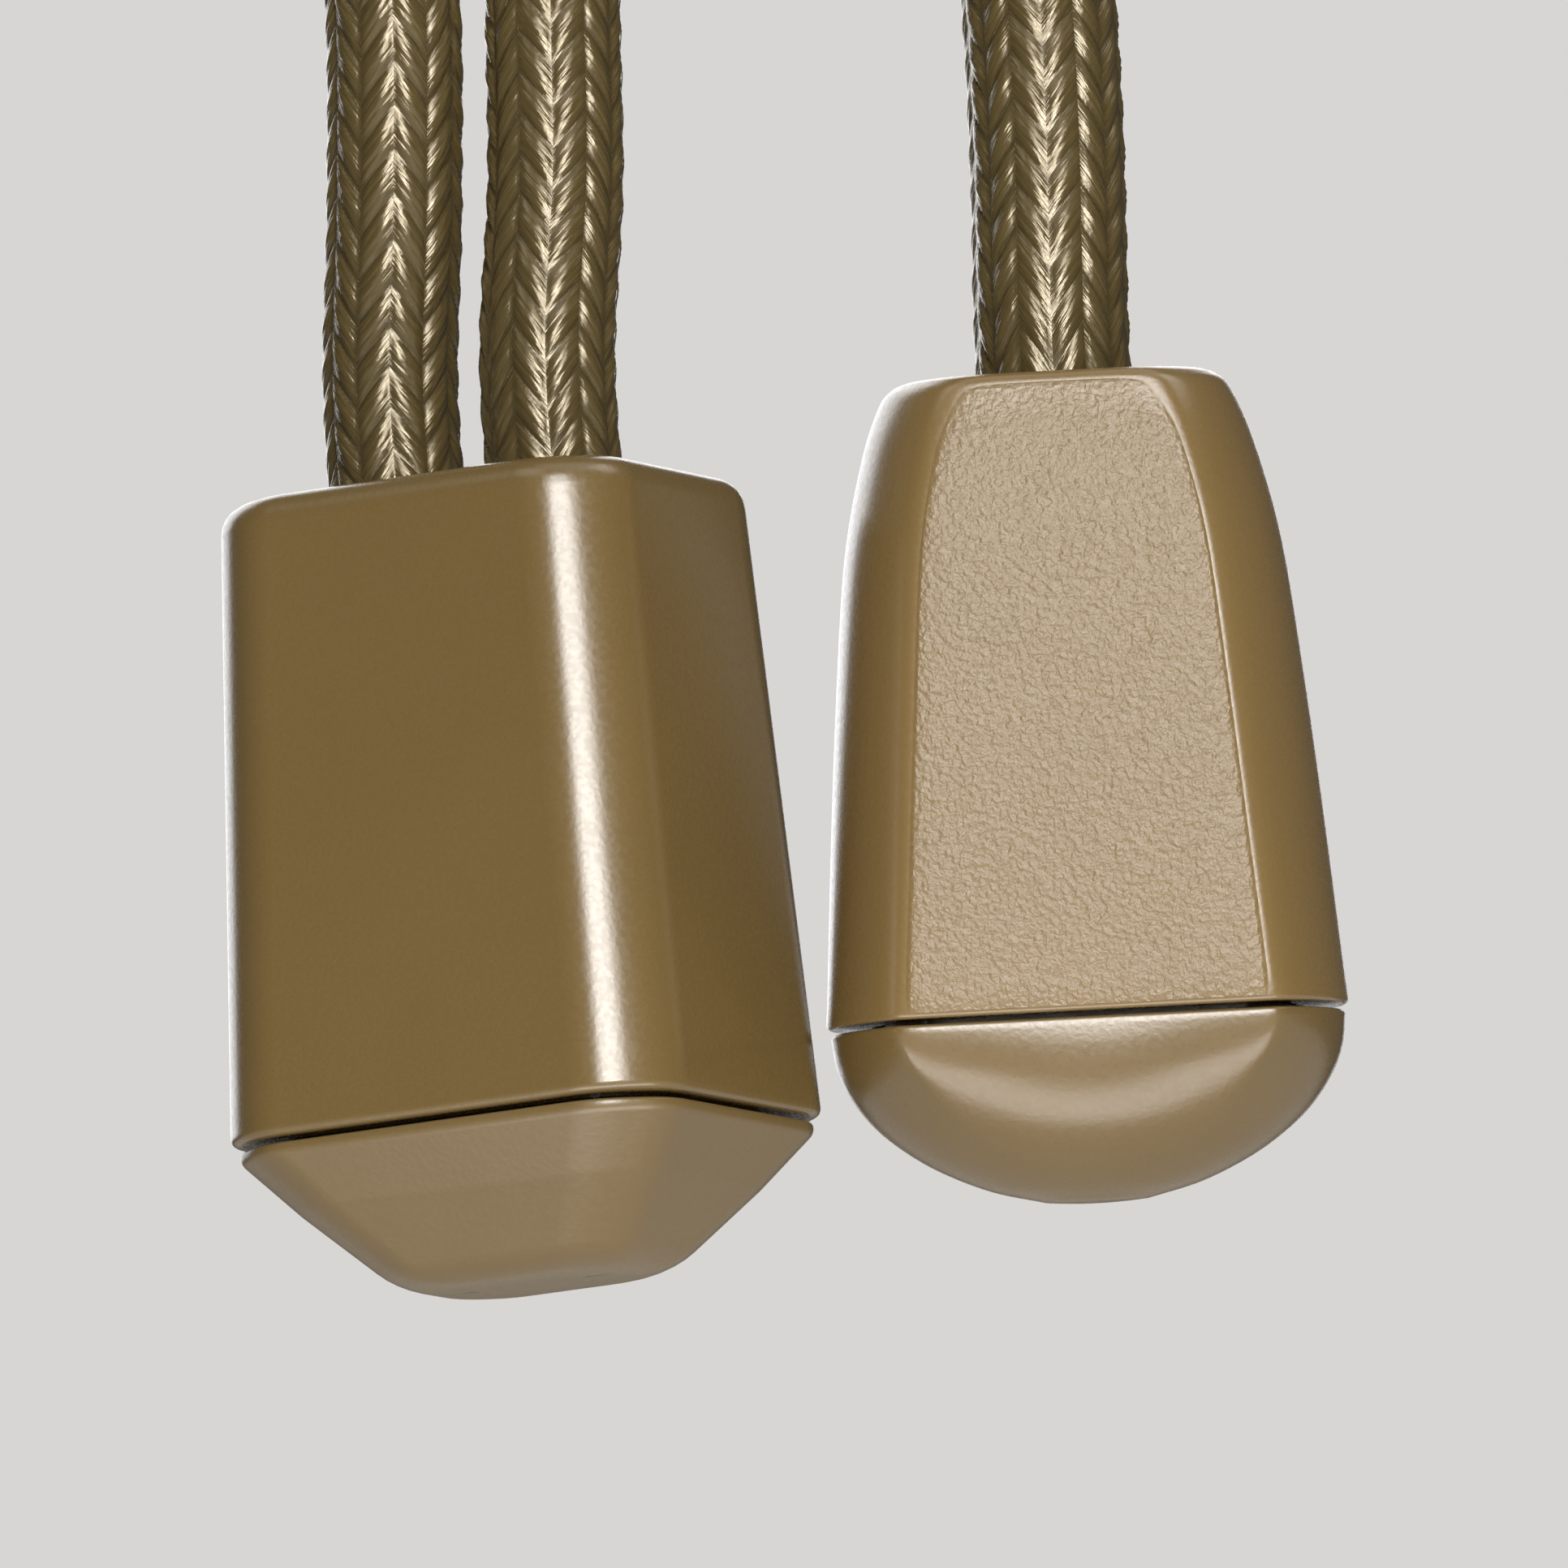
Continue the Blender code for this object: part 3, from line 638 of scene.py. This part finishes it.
def flatted(radius, flat, z, width=0.22, like=None):
    """A circle with a flat at its front and back, whose points gather at the flats' edges.

    like is the (radius, flat) of a neighbouring ring whose spacing this one follows.
    """
    spacing_radius, spacing_flat = like or (radius, flat)
    edge = math.asin(min(spacing_flat / spacing_radius, math.sin(math.radians(85))))
    count = 12
    quarter = [edge * (1 - (1 - i / count) ** 1.8) for i in range(count)]
    quarter += [edge + (math.pi / 2 - edge) * (i / count) ** 1.8 for i in range(count)]
    turns = quarter + [math.pi / 2]
    turns += [math.pi - a for a in quarter[::-1]]
    turns += [math.pi + a for a in quarter[1:]] + [1.5 * math.pi]
    turns += [2 * math.pi - a for a in quarter[:0:-1]]
    ring = []
    for a in turns:
        reach = radius
        if flat:
            reach = softened(radius, flat / max(abs(math.sin(a)), 1e-6), width)
        ring.append((reach * math.cos(a), reach * math.sin(a), z))
    return ring


def ovalled(ring, share):
    """A ring moved part of the way to the oval of the same width and depth."""
    half_x = max(x for x, y, z in ring)
    half_y = max(y for x, y, z in ring)
    moved = []
    for x, y, z in ring:
        a = math.atan2(y / half_y, x / half_x)
        oval_x, oval_y = half_x * math.cos(a), half_y * math.sin(a)
        moved.append((x + (oval_x - x) * share, y + (oval_y - y) * share, z))
    return moved


def bell_housing(material):
    """The shell's rings go up the port, over its lip, down the outside, round the mouth and up the inside."""
    outer = [tuple(p) for p in through(BELL_OUTLINE, 6)]
    top = outer[0][:2]
    bore = KEEPER / 2 + PORT_PLAY
    lip = 0.4
    rings = [flatted(bore, 0, -BELL_ROOF, like=top)]
    for k in range(7):
        a = math.pi / 2 * k / 6
        rings.append(flatted(bore + lip * (1 - math.cos(a)), 0, -lip * (1 - math.sin(a)), like=top))
    for radius, flat, depth in outer:
        if depth < BELL_BODY - 0.3:
            rings.append(flatted(radius, flat, -depth, 0.3))
    seam_radius = outer[-1][0]
    edge = 0.16
    for k in range(7):
        a = math.pi / 2 * k / 6
        inward = edge * (1 - math.cos(a))
        z = -BELL_BODY + edge * (1 - math.sin(a))
        rings.append(flatted(seam_radius - inward, FLAT_SEAM - inward, z, 0.3))
    for share in (0.6, 1.0):
        rings.append(flatted(seam_radius - share * BELL_WALL, FLAT_SEAM - share * FLAT_WALL, -BELL_BODY))
    inside = [p for p in outer if BELL_ROOF + 0.4 < p[2] < BELL_BODY - 0.2]
    for radius, flat, depth in reversed(inside):
        rings.append(flatted(radius - BELL_WALL, flat - FLAT_WALL, -depth))
    mesh = loft("bell_housing_shell", rings, BELL_PLACE, BELL_TURN, around=True)
    even_normals(piece("bell_housing_shell", mesh, material, "bell_shell", "bell_shell", "bell_housing"))


def bell_lid(material):
    seam = -BELL_BODY - SEAM_GAP
    dome = [tuple(p) for p in through(DOME, 6)]
    wide, deep, _ = dome[0]
    rim_top = -BELL_BODY + RIM_RISE
    side_play, flat_play = 0.25, 0.3
    rim = wide - BELL_WALL - side_play
    rim_flat = deep - FLAT_WALL - flat_play
    room = rim - 0.9
    room_flat = rim_flat - 0.9
    floor = seam - 3.5
    rings = [
        flatted(0.45 * room, 0.45 * room_flat, floor, like=(room, room_flat)),
        flatted(0.8 * room, 0.85 * room_flat, floor + 0.5, like=(room, room_flat)),
        flatted(room, room_flat, seam, like=(room, room_flat)),
        flatted(room, room_flat, rim_top - 0.15),
        flatted(room + 0.2, room_flat + 0.2, rim_top),
        flatted(rim - 0.25, rim_flat - 0.25, rim_top),
        flatted(rim, rim_flat, rim_top - 0.3),
        flatted(rim, rim_flat, rim_top - 0.75),
        flatted(rim + 0.13, rim_flat + 0.13, rim_top - 1.0),
        flatted(rim, rim_flat, rim_top - 1.3),
        flatted(rim, rim_flat, seam),
    ]
    edge = 0.12
    for k in range(5):
        a = math.pi / 2 * k / 4
        inward = edge * (1 - math.sin(a))
        rings.append(flatted(wide - inward, deep - inward, seam - edge * (1 - math.cos(a))))
    below_edge = [p for p in dome if p[2] > 0.2]
    foot_width, foot_depth, foot = dome[-1]
    for share in (0.7, 0.4, 0.15):
        below_edge.append((foot_width * share, foot_depth * share, foot + 0.08 * (1 - share**2)))
    squash = (BELL_LID - SEAM_GAP) / BELL_LID
    for half_width, half_depth, down in below_edge:
        ring = flatted(half_width, half_depth, seam - down * squash, 0.2, like=(wide, deep))
        rounded = min(1, down / 4)
        rings.append(ovalled(ring, rounded * rounded * (3 - 2 * rounded)))
    mesh = loft("bell_lid_cap", rings, BELL_PLACE, BELL_TURN, first_cap=True, last_cap=True, smooth_angle=50)
    even_normals(piece("bell_lid_cap", mesh, material, "bell_cap", "bell_lid", "bell_lid"))


# Cords.


class Line:
    """A smooth centreline in mm, read by distance along it, with a steady frame for its cross-sections."""

    def __init__(self, points, per_gap=12):
        fine = np.array([tuple(p) for p in through([Vector(p) for p in points], per_gap)])
        steps = np.linalg.norm(np.diff(fine, axis=0), axis=1)
        self.reach = np.concatenate([[0], np.cumsum(steps)])
        self.length = self.reach[-1]
        self.points = fine
        ahead = np.gradient(fine, self.reach, axis=0)
        self.ahead = ahead / np.linalg.norm(ahead, axis=1)[:, None]
        side = np.cross(self.ahead[0], (0.0, 1.0, 0.0))
        sides = []
        for way in self.ahead:
            side = side - way * side.dot(way)
            side = side / np.linalg.norm(side)
            sides.append(side)
        self.sides = np.array(sides)

    def at(self, distances):
        pick = [np.interp(distances, self.reach, column) for column in self.points.T]
        side = np.stack([np.interp(distances, self.reach, column) for column in self.sides.T], 1)
        ahead = np.stack([np.interp(distances, self.reach, column) for column in self.ahead.T], 1)
        side /= np.linalg.norm(side, axis=1)[:, None]
        other = np.cross(ahead, side)
        other /= np.linalg.norm(other, axis=1)[:, None]
        return np.stack(pick, 1), side, other

    def route(self, spacing=2.0):
        count = max(2, int(self.length / spacing))
        places, _, _ = self.at(np.linspace(0, self.length, count))
        return [[c * MM for c in p] for p in places]


def yarn_relief(turn, along, columns, pitch):
    """How far the braid's surface is below its crowns, from 0 at a crown to 1 in a groove."""
    across = turn * columns
    column = np.floor(across + 1e-9)
    x = across - column - 0.5
    slant = x * np.where(column % 2 == 0, 1, -1)
    part = (along / pitch + slant) % 1
    crown = (1 - np.abs(2 * part - 1) ** YARN_SQUARENESS) * (1 - YARN_DIP * (2 * x) ** 2)
    plies = 1 - PLY_DEPTH + PLY_DEPTH * np.abs(np.sin(PLIES * math.pi * part))
    return 1 - crown * plies


def tube(line, start, end, step, sides, diameter, columns, pitch, twist, relief):
    """Vertices, faces and UVs of a stretch of braided cord.

    relief is the depth of its grooves, and twist turns the braid by a number of columns.
    """
    count = max(3, int(round((end - start) / step)) + 1)
    along = np.linspace(start, end, count)
    turn = np.arange(sides) / sides
    places, side, other = line.at(along)
    grid_turn, grid_along = np.meshgrid(turn, along)
    radius = diameter / 2 - relief * yarn_relief(grid_turn, grid_along, columns, pitch)
    angle = 2 * math.pi * (grid_turn + twist / columns)
    offset = (
        np.cos(angle)[..., None] * side[:, None, :] + np.sin(angle)[..., None] * other[:, None, :]
    ) * radius[..., None]
    verts = (places[:, None, :] + offset).reshape(-1, 3) * MM
    ring, spoke = np.meshgrid(np.arange(count - 1), np.arange(sides), indexing="ij")
    ahead = (spoke + 1) % sides
    faces = np.stack(
        [
            ring * sides + spoke,
            ring * sides + ahead,
            (ring + 1) * sides + ahead,
            (ring + 1) * sides + spoke,
        ],
        -1,
    ).reshape(-1, 4)
    u = np.stack([spoke, spoke + 1, spoke + 1, spoke], -1).reshape(-1, 4) / sides
    v = np.stack([along[ring], along[ring], along[ring + 1], along[ring + 1]], -1).reshape(-1, 4)
    return verts, faces, np.stack([u, v], -1)


def cord_mesh(name, stretches):
    """One mesh of several stretches from tube()."""
    verts, faces, uvs, base = [], [], [], 0
    for v, f, uv in stretches:
        verts.append(v)
        faces.append(f + base)
        uvs.append(uv)
        base += len(v)
    mesh = bpy.data.meshes.new(name)
    mesh.from_pydata(np.concatenate(verts).tolist(), [], np.concatenate(faces).tolist())
    layer = mesh.uv_layers.new(name="around_and_along")
    layer.data.foreach_set("uv", np.concatenate(uvs).reshape(-1).astype(np.float32))
    mesh.polygons.foreach_set("use_smooth", [True] * len(mesh.polygons))
    mesh.update()
    return mesh


def column_x(column, z):
    """A run's distance from the hank's middle at a height: it is drawn in at the waist."""
    share = 0.5 - 0.5 * math.cos(2 * math.pi * (z - WAIST_Z) / HANK_RUN)
    fold = FOLD_COLUMNS[abs(column) - 1]
    return math.copysign(fold - DRAWN_IN * (1 - share), column)


def arc(middle, z, radius, start, end, y_start, y_end, count):
    """Points of a fold, from one angle to another in degrees, moving between the layers on the way."""
    points = []
    for i in range(1, count):
        share = i / count
        a = math.radians(start + (end - start) * share)
        eased = share * share * (3 - 2 * share)
        y = y_start + (y_end - y_start) * eased
        points.append((middle + radius * math.cos(a), y, z + radius * math.sin(a)))
    return points


def end_to_hank(way):
    """From a port of the lock up to the hank's outer column on that side: -1 is left and at the back."""
    port = LOCK_PLACE + LOCK_TURN @ Vector((way * PORT_SPACING / 2, 0, 0))
    lean = -0.12
    hug = 3 * DRAWCORD
    middle = -way * (FOLD_COLUMNS[1] - FOLD_COLUMNS[0]) / 2
    centre_z = LOW_FOLD_Z - DEEPER
    back = -way * LAYER
    slope = math.radians(45)
    below = [
        (port.x + lean, port.y, port.z - LOCK_ROOF),
        (port.x + lean, port.y, port.z + 3.5),
        (port.x * 0.45 + way * LOCK_CORDS_X * 0.55, port.y * 0.4, port.z + 9),
        (way * LOCK_CORDS_X, 0, SWING_Z),
    ]
    hug_x = middle + way * hug * math.cos(slope)
    hug_z = centre_z - hug * math.sin(slope)
    climb = [
        (way * (LOCK_CORDS_X + 0.9), back * 0.25, SWING_Z + 4.3),
        (hug_x - way * 1.3, back * 0.8, hug_z - 1.6),
        (hug_x + way * 0.1, back, hug_z + 0.1),
        (middle + way * hug * math.cos(slope / 2), back, centre_z - hug * math.sin(slope / 2)),
        (middle + way * hug, back, centre_z),
    ]
    return below + climb


def run(column, y, upward):
    """Points along one run, between the fold levels."""
    heights = [LOW_FOLD_Z + HANK_RUN * (i + 0.5) / 9 for i in range(9)]
    points = []
    for z in heights if upward else heights[::-1]:
        loose = random.uniform(-0.12, 0.12)
        points.append((column_x(column, z) + loose, y + random.uniform(-0.08, 0.08), z))
    return points


def drawcord_points():
    """The drawcord: up from the lock's left port, to and fro in the hank and down to the right port."""
    inner, outer = FOLD_COLUMNS
    step = (outer - inner) / 2
    wide = (outer + inner) / 2
    low = LOW_FOLD_Z - DEEPER
    back, front = LAYER, -LAYER
    points = end_to_hank(-1)
    points += run(-2, back, True)
    points += arc(0, TOP_FOLD_Z, outer, 180, 0, back, back, 10)
    points += run(2, back, False)
    points += [(outer, back, LOW_FOLD_Z)]
    points += arc(step, low, wide, 0, -180, back, back, 8)
    points += [(-inner, back, LOW_FOLD_Z)]
    points += run(-1, back, True)
    points += arc(0, TOP_FOLD_Z, inner, 180, 0, back, back, 7)
    points += run(1, back, False)
    points += arc(0, LOW_FOLD_Z, inner, 0, -180, back, front, 7)
    points += run(-1, front, True)
    points += arc(0, TOP_FOLD_Z, inner, 180, 0, front, front, 7)
    points += run(1, front, False)
    points += [(inner, front, LOW_FOLD_Z)]
    points += arc(-step, low, wide, 0, -180, front, front, 8)
    points += [(-outer, front, LOW_FOLD_Z)]
    points += run(-2, front, True)
    points += arc(0, TOP_FOLD_Z, outer, 180, 0, front, front, 10)
    points += run(2, front, False)
    points += end_to_hank(1)[::-1]
    return points


def bend(x):
    """The top and bottom of the stretch in which a cord bends when its fitting swings, in metres."""
    half = 3.5
    return (x * MM, 0, (SWING_Z + half) * MM), (x * MM, 0, (SWING_Z - half) * MM)


def drawcord(material):
    """One cord of three stretches: only the two ends, which are near the fittings, have raised yarns."""
    line = Line(drawcord_points(), per_gap=14)
    raised = 34
    ends = [(0, raised), (line.length - raised, line.length)]
    parts = [tube(line, a, b, 0.14, 120, relief=0.13, **DRAWCORD_BRAID) for a, b in ends]
    parts.append(tube(line, raised, line.length - raised, 0.85, 28, relief=0, **DRAWCORD_BRAID))
    mesh = cord_mesh("drawcord", parts)
    nodes = ["drawcord_hank", "hank_lead_left", "hank_lead_right", "lock_cord_left", "lock_cord_right"]
    made = piece("drawcord", mesh, material, None, "drawcord_braid", *nodes)
    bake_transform(made)
    port = LOCK_PLACE + LOCK_TURN @ Vector((-PORT_SPACING / 2, 0, 0))
    return made, line, [c * MM for c in port]


def keeper_points():
    """From the bell end's port, up beside the hank, through the tie and into its own end knot."""
    beside_fold = 3 * DRAWCORD + GAP + KEEPER / 2
    in_port = [tuple(BELL_PLACE + BELL_TURN @ Vector((0, 0, z))) for z in (-BELL_ROOF, 1.6)]
    return in_port + [
        (BELL_CORD_X, -0.6, SWING_Z - 6),
        (BELL_CORD_X, 0, SWING_Z),
        (beside_fold + 0.9, 0, LOW_FOLD_Z - 6),
        (beside_fold + 0.2, 0, LOW_FOLD_Z + 3),
        (KEEPER_X + 1.8, 0, WAIST_Z - 15),
        (KEEPER_X, 0, WAIST_Z - 6),
        (KEEPER_X, 0, WAIST_Z),
        (KEEPER_X, 0, WAIST_Z + 6),
        (KEEPER_X + 3.3, 0, WAIST_Z + 11),
        (KEEPER_X + 4.6, 0, WAIST_Z + 14),
    ]


def keeper(material):
    line = Line(keeper_points(), per_gap=14)
    mesh = cord_mesh("keeper", [tube(line, 0, line.length, 0.18, 98, relief=0.14, **KEEPER_BRAID)])
    made = piece("keeper", mesh, material, None, "keeper_braid", "bell_cord", "keeper_cord")
    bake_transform(made)
    return made, line


def knot_line(half, turns, diameter):
    """Wraps of a stopper knot, from the cord that enters its top to the one that leaves its foot."""
    half_x, half_y, half_z = half
    rx, ry = half_x - diameter / 2, half_y - diameter / 2
    top = half_z - diameter / 2
    points = [(0, 0, half_z), (0.3 * rx, 0.25 * ry, top)]
    count = round(turns * 10)
    for i in range(count + 1):
        share = i / count
        a = 2 * math.pi * turns * share + 0.5
        swell = 0.86 + 0.14 * math.sin(math.pi * share)
        points.append((rx * swell * math.cos(a), ry * swell * math.sin(a), top * (1 - 2 * share)))
    return points + [(0.2 * rx, -0.2 * ry, -top), (0, 0, -half_z - 0.2)]


def knot(name, place, turn, half, turns, pattern, material, slot, body, node):
    """A stopper knot that fits the half sizes about its place."""
    around = [place + turn @ Vector(p) for p in knot_line(half, turns, pattern["diameter"])]
    line = Line(around, per_gap=6)
    mesh = cord_mesh(name, [tube(line, 0, line.length, 0.36, 56, relief=0.25, **pattern)])
    return piece(name, mesh, material, body, slot, node)


def tip(name, place, turn, foot, way, length, material, body, node):
    """A melted cord end: a short drawn-in stub with a bead. Its way is 1 for up and -1 for down."""
    radius = 1.6
    profile = [
        (0.02, 0, 0),
        (radius + 0.2, 0, 0.4),
        (radius - 0.25, 0.35 * length, 0.8),
        (radius + 0.05, 0.7 * length, 0.8),
        (0.55 * radius, length, 0.6),
        (0.02, length, 0),
    ]
    rings = turned([(r, foot.z + way * h) for r, h in fillet(profile)], foot.x, foot.y, count=32)
    mesh = loft(name, rings, place, turn, first_cap=True, last_cap=True, smooth_angle=60)
    return piece(name, mesh, material, body, "sealed_ends", node)


def lock_knot_and_tips(braided, sealed):
    """The knot that joins both ends of the drawcord inside the lock, and the two melted ends below it."""
    knot_z = -LOCK_ROOF - GAP - LOCK_KNOT[2]
    place = LOCK_PLACE + Vector((0, 0, knot_z))
    cord = (DRAWCORD_BRAID, braided, "drawcord_braid")
    made = [knot("lock_stopper_knot", place, LOCK_TURN, LOCK_KNOT, 2.6, *cord, "lock_cords", "lock_knot")]
    for side, name in ((-1, "left"), (1, "right")):
        foot = Vector((side * 1.8, 0, knot_z - LOCK_KNOT[2] + 0.2))
        end, node = f"lock_melted_end_{name}", f"lock_tip_{name}"
        made.append(tip(end, LOCK_PLACE, LOCK_TURN, foot, -1, 2.9, sealed, "lock_cords", node))
    return made


def keeper_knots_and_tips(braided, sealed):
    """The keeper cord's stopper knot and melted end inside the bell, and those above the tie."""
    level = Matrix.Identity(3)
    cord = (dict(KEEPER_BRAID, diameter=KNOT_CORD), braided, "keeper_braid")
    bell_knot_z = -BELL_ROOF - GAP - BELL_KNOT[2]
    in_bell = BELL_PLACE + BELL_TURN @ Vector((0, 0, bell_knot_z))
    above_tie = Vector((KEEPER_X + 4.7, 0, WAIST_Z + 16))
    below_knot = Vector((0, 0, bell_knot_z - BELL_KNOT[2] - 0.1))
    over_knot = Vector((0, 0, KEEPER_KNOT[2] + 0.1))
    inside, outside = "bell_knotted_end", "hank"
    return [
        knot("bell_stopper_knot", in_bell, BELL_TURN, BELL_KNOT, 2.0, *cord, inside, "bell_knot"),
        knot("keeper_stopper_knot", above_tie, level, KEEPER_KNOT, 1.7, *cord, outside, "keeper_knot"),
        tip("bell_melted_end", BELL_PLACE, BELL_TURN, below_knot, -1, 2.5, sealed, inside, "bell_tip"),
        tip("keeper_melted_end", above_tie, level, over_knot, 1, 2.5, sealed, outside, "keeper_tip"),
    ]


# The tie.


def wrap(gap):
    """Points, gap away, anticlockwise round the hank's waist and the keeper cord at its right."""
    corner_x = 1.5 * DRAWCORD
    corner_y = LAYER
    slope = math.atan2(KEEPER_X - corner_x, corner_y)
    rounds = [
        (KEEPER_X, 0, KEEPER / 2, 0, slope),
        (corner_x, corner_y, DRAWCORD / 2, slope, math.pi / 2),
        (-corner_x, corner_y, DRAWCORD / 2, math.pi / 2, math.pi),
        (-corner_x, -corner_y, DRAWCORD / 2, math.pi, 1.5 * math.pi),
        (corner_x, -corner_y, DRAWCORD / 2, 1.5 * math.pi, 2 * math.pi - slope),
        (KEEPER_X, 0, KEEPER / 2, 2 * math.pi - slope, 2 * math.pi),
    ]
    corners = []
    for x, y, radius, start, end in rounds:
        count = max(3, round((end - start) / 0.12))
        for i in range(count + 1):
            a = start + (end - start) * i / count
            corners.append((x + (radius + gap) * math.cos(a), y + (radius + gap) * math.sin(a)))
    return corners


def evenly(points, spacing):
    """Points about a spacing apart along a flat line, with the distance to each."""
    flat = np.array(points)
    reach = np.concatenate([[0], np.cumsum(np.linalg.norm(np.diff(flat, axis=0), axis=1))])
    count = max(2, int(reach[-1] / spacing))
    along = np.linspace(0, reach[-1], count)
    return np.stack([np.interp(along, reach, c) for c in flat.T], 1), along


def strap_section(thickness, half_height):
    """The strap's cross-section as (distance outward, height) points, with rounded edges."""
    corners = [
        (0, 0, 0),
        (0, half_height, 0.3),
        (thickness, half_height, 0.35),
        (thickness, -half_height, 0.35),
        (0, -half_height, 0.3),
        (0, -0.01, 0),
    ]
    return fillet(corners, 4)


def strap_mesh(name, points, thickness, half_height, middle_z, lift=0.0):
    """A flat strap that stands on edge along a line: its inner face follows the line.

    Without a lift it is a closed band, and with one its last quarter rises clear of what is below.
    """
    places, along = evenly(points, 0.5)
    ahead = np.gradient(places, along, axis=0)
    if not lift:
        ahead[0] = ahead[-1] = places[1] - places[-2]
    ahead /= np.linalg.norm(ahead, axis=1)[:, None]
    outward = np.stack([ahead[:, 1], -ahead[:, 0]], 1)
    section = strap_section(thickness, half_height)
    sides = [(b - a).length for a, b in zip(section, section[1:])]
    around = np.concatenate([[0], np.cumsum(sides)])
    verts, faces, uvs = [], [], []
    count = len(section)
    last = len(places) - 1
    for i, (place, out) in enumerate(zip(places, outward)):
        rise = lift * max(0, (i / last - 0.75) / 0.25) ** 2
        end = min(i, last - i) / 3
        pinch = min(1, 0.9 + 0.1 * end) if lift else 1
        for depth, z in section:
            at = place + out * (depth + rise)
            verts.append((at[0] * MM, at[1] * MM, (middle_z + z * pinch) * MM))
    for i in range(last):
        for k in range(count):
            j = (k + 1) % count
            faces.append((i * count + k, i * count + j, (i + 1) * count + j, (i + 1) * count + k))
            here, there = along[i], along[i + 1]
            uvs += [(here, around[k]), (here, around[j]), (there, around[j]), (there, around[k])]
    if lift:
        faces.append(tuple(range(count)))
        faces.append(tuple(last * count + k for k in range(count)))
        uvs += [(0, r) for r in around] + [(along[-1], r) for r in around]
    mesh = bpy.data.meshes.new(name)
    mesh.from_pydata(verts, [], faces)
    layer = mesh.uv_layers.new(name="along_and_across")
    layer.data.foreach_set("uv", [c for pair in uvs for c in pair])
    bm = bmesh.new()
    bm.from_mesh(mesh)
    if not lift:
        bmesh.ops.remove_doubles(bm, verts=bm.verts, dist=1e-6)
    bmesh.ops.recalc_face_normals(bm, faces=bm.faces)
    bm.to_mesh(mesh)
    bm.free()
    shaded(mesh, 50)
    return mesh


def tie(material):
    """The strap goes once round and laps over itself at the front, where its end stands a little proud."""
    ring = strap_mesh("hank_tie_band", wrap(GAP), TIE_THICKNESS, TIE_HALF_HEIGHT, WAIST_Z)
    piece("hank_tie_band", ring, material, "hank", "tie_strap", "hank_tie")
    over_ring = wrap(GAP + TIE_THICKNESS + 0.02)
    lap = [(x, y) for x, y in over_ring if y < -3 and -6.5 < x < 10]
    tab = strap_mesh("hank_tie_end", lap, 0.85, TIE_HALF_HEIGHT - 0.1, WAIST_Z, lift=0.9)
    piece("hank_tie_end", tab, material, "hank", "tie_strap")


def main():
    aim_camera()
    studio()
    materials = {
        "lock_shell": plastic("lock_plastic", LOCK_OLIVE, roughness=0.27, grain=0.3),
        "lock_lid": plastic("lock_lid_plastic", LOCK_OLIVE, roughness=0.36, grain=0.4),
        "bell_shell": plastic("bell_plastic", BELL_OLIVE, roughness=0.27, grain=0.3, flat_grain=0.9),
        "bell_lid": plastic("bell_lid_plastic", LOCK_OLIVE, roughness=0.3, grain=0.4),
        "drawcord_braid": braid("drawcord_yarn", DRAWCORD_BRAID, BRAID_COLOURS),
        "keeper_braid": braid("keeper_yarn", KEEPER_BRAID, BRAID_COLOURS),
        "sealed_ends": melted("melted_ends"),
        "tie_strap": strap_cloth("strap_cloth"),
    }
    cord, cord_line, port = drawcord(materials["drawcord_braid"])
    short, short_line = keeper(materials["keeper_braid"])
    on_drawcord = lock_knot_and_tips(materials["drawcord_braid"], materials["sealed_ends"])
    on_keeper = keeper_knots_and_tips(materials["keeper_braid"], materials["sealed_ends"])
    cord_line.route()
    short_line.route()
    tie(materials["tie_strap"])
    lock_housing(materials["lock_shell"])
    lock_lid(materials["lock_lid"])
    bell_housing(materials["bell_shell"])
    bell_lid(materials["bell_lid"])


main()
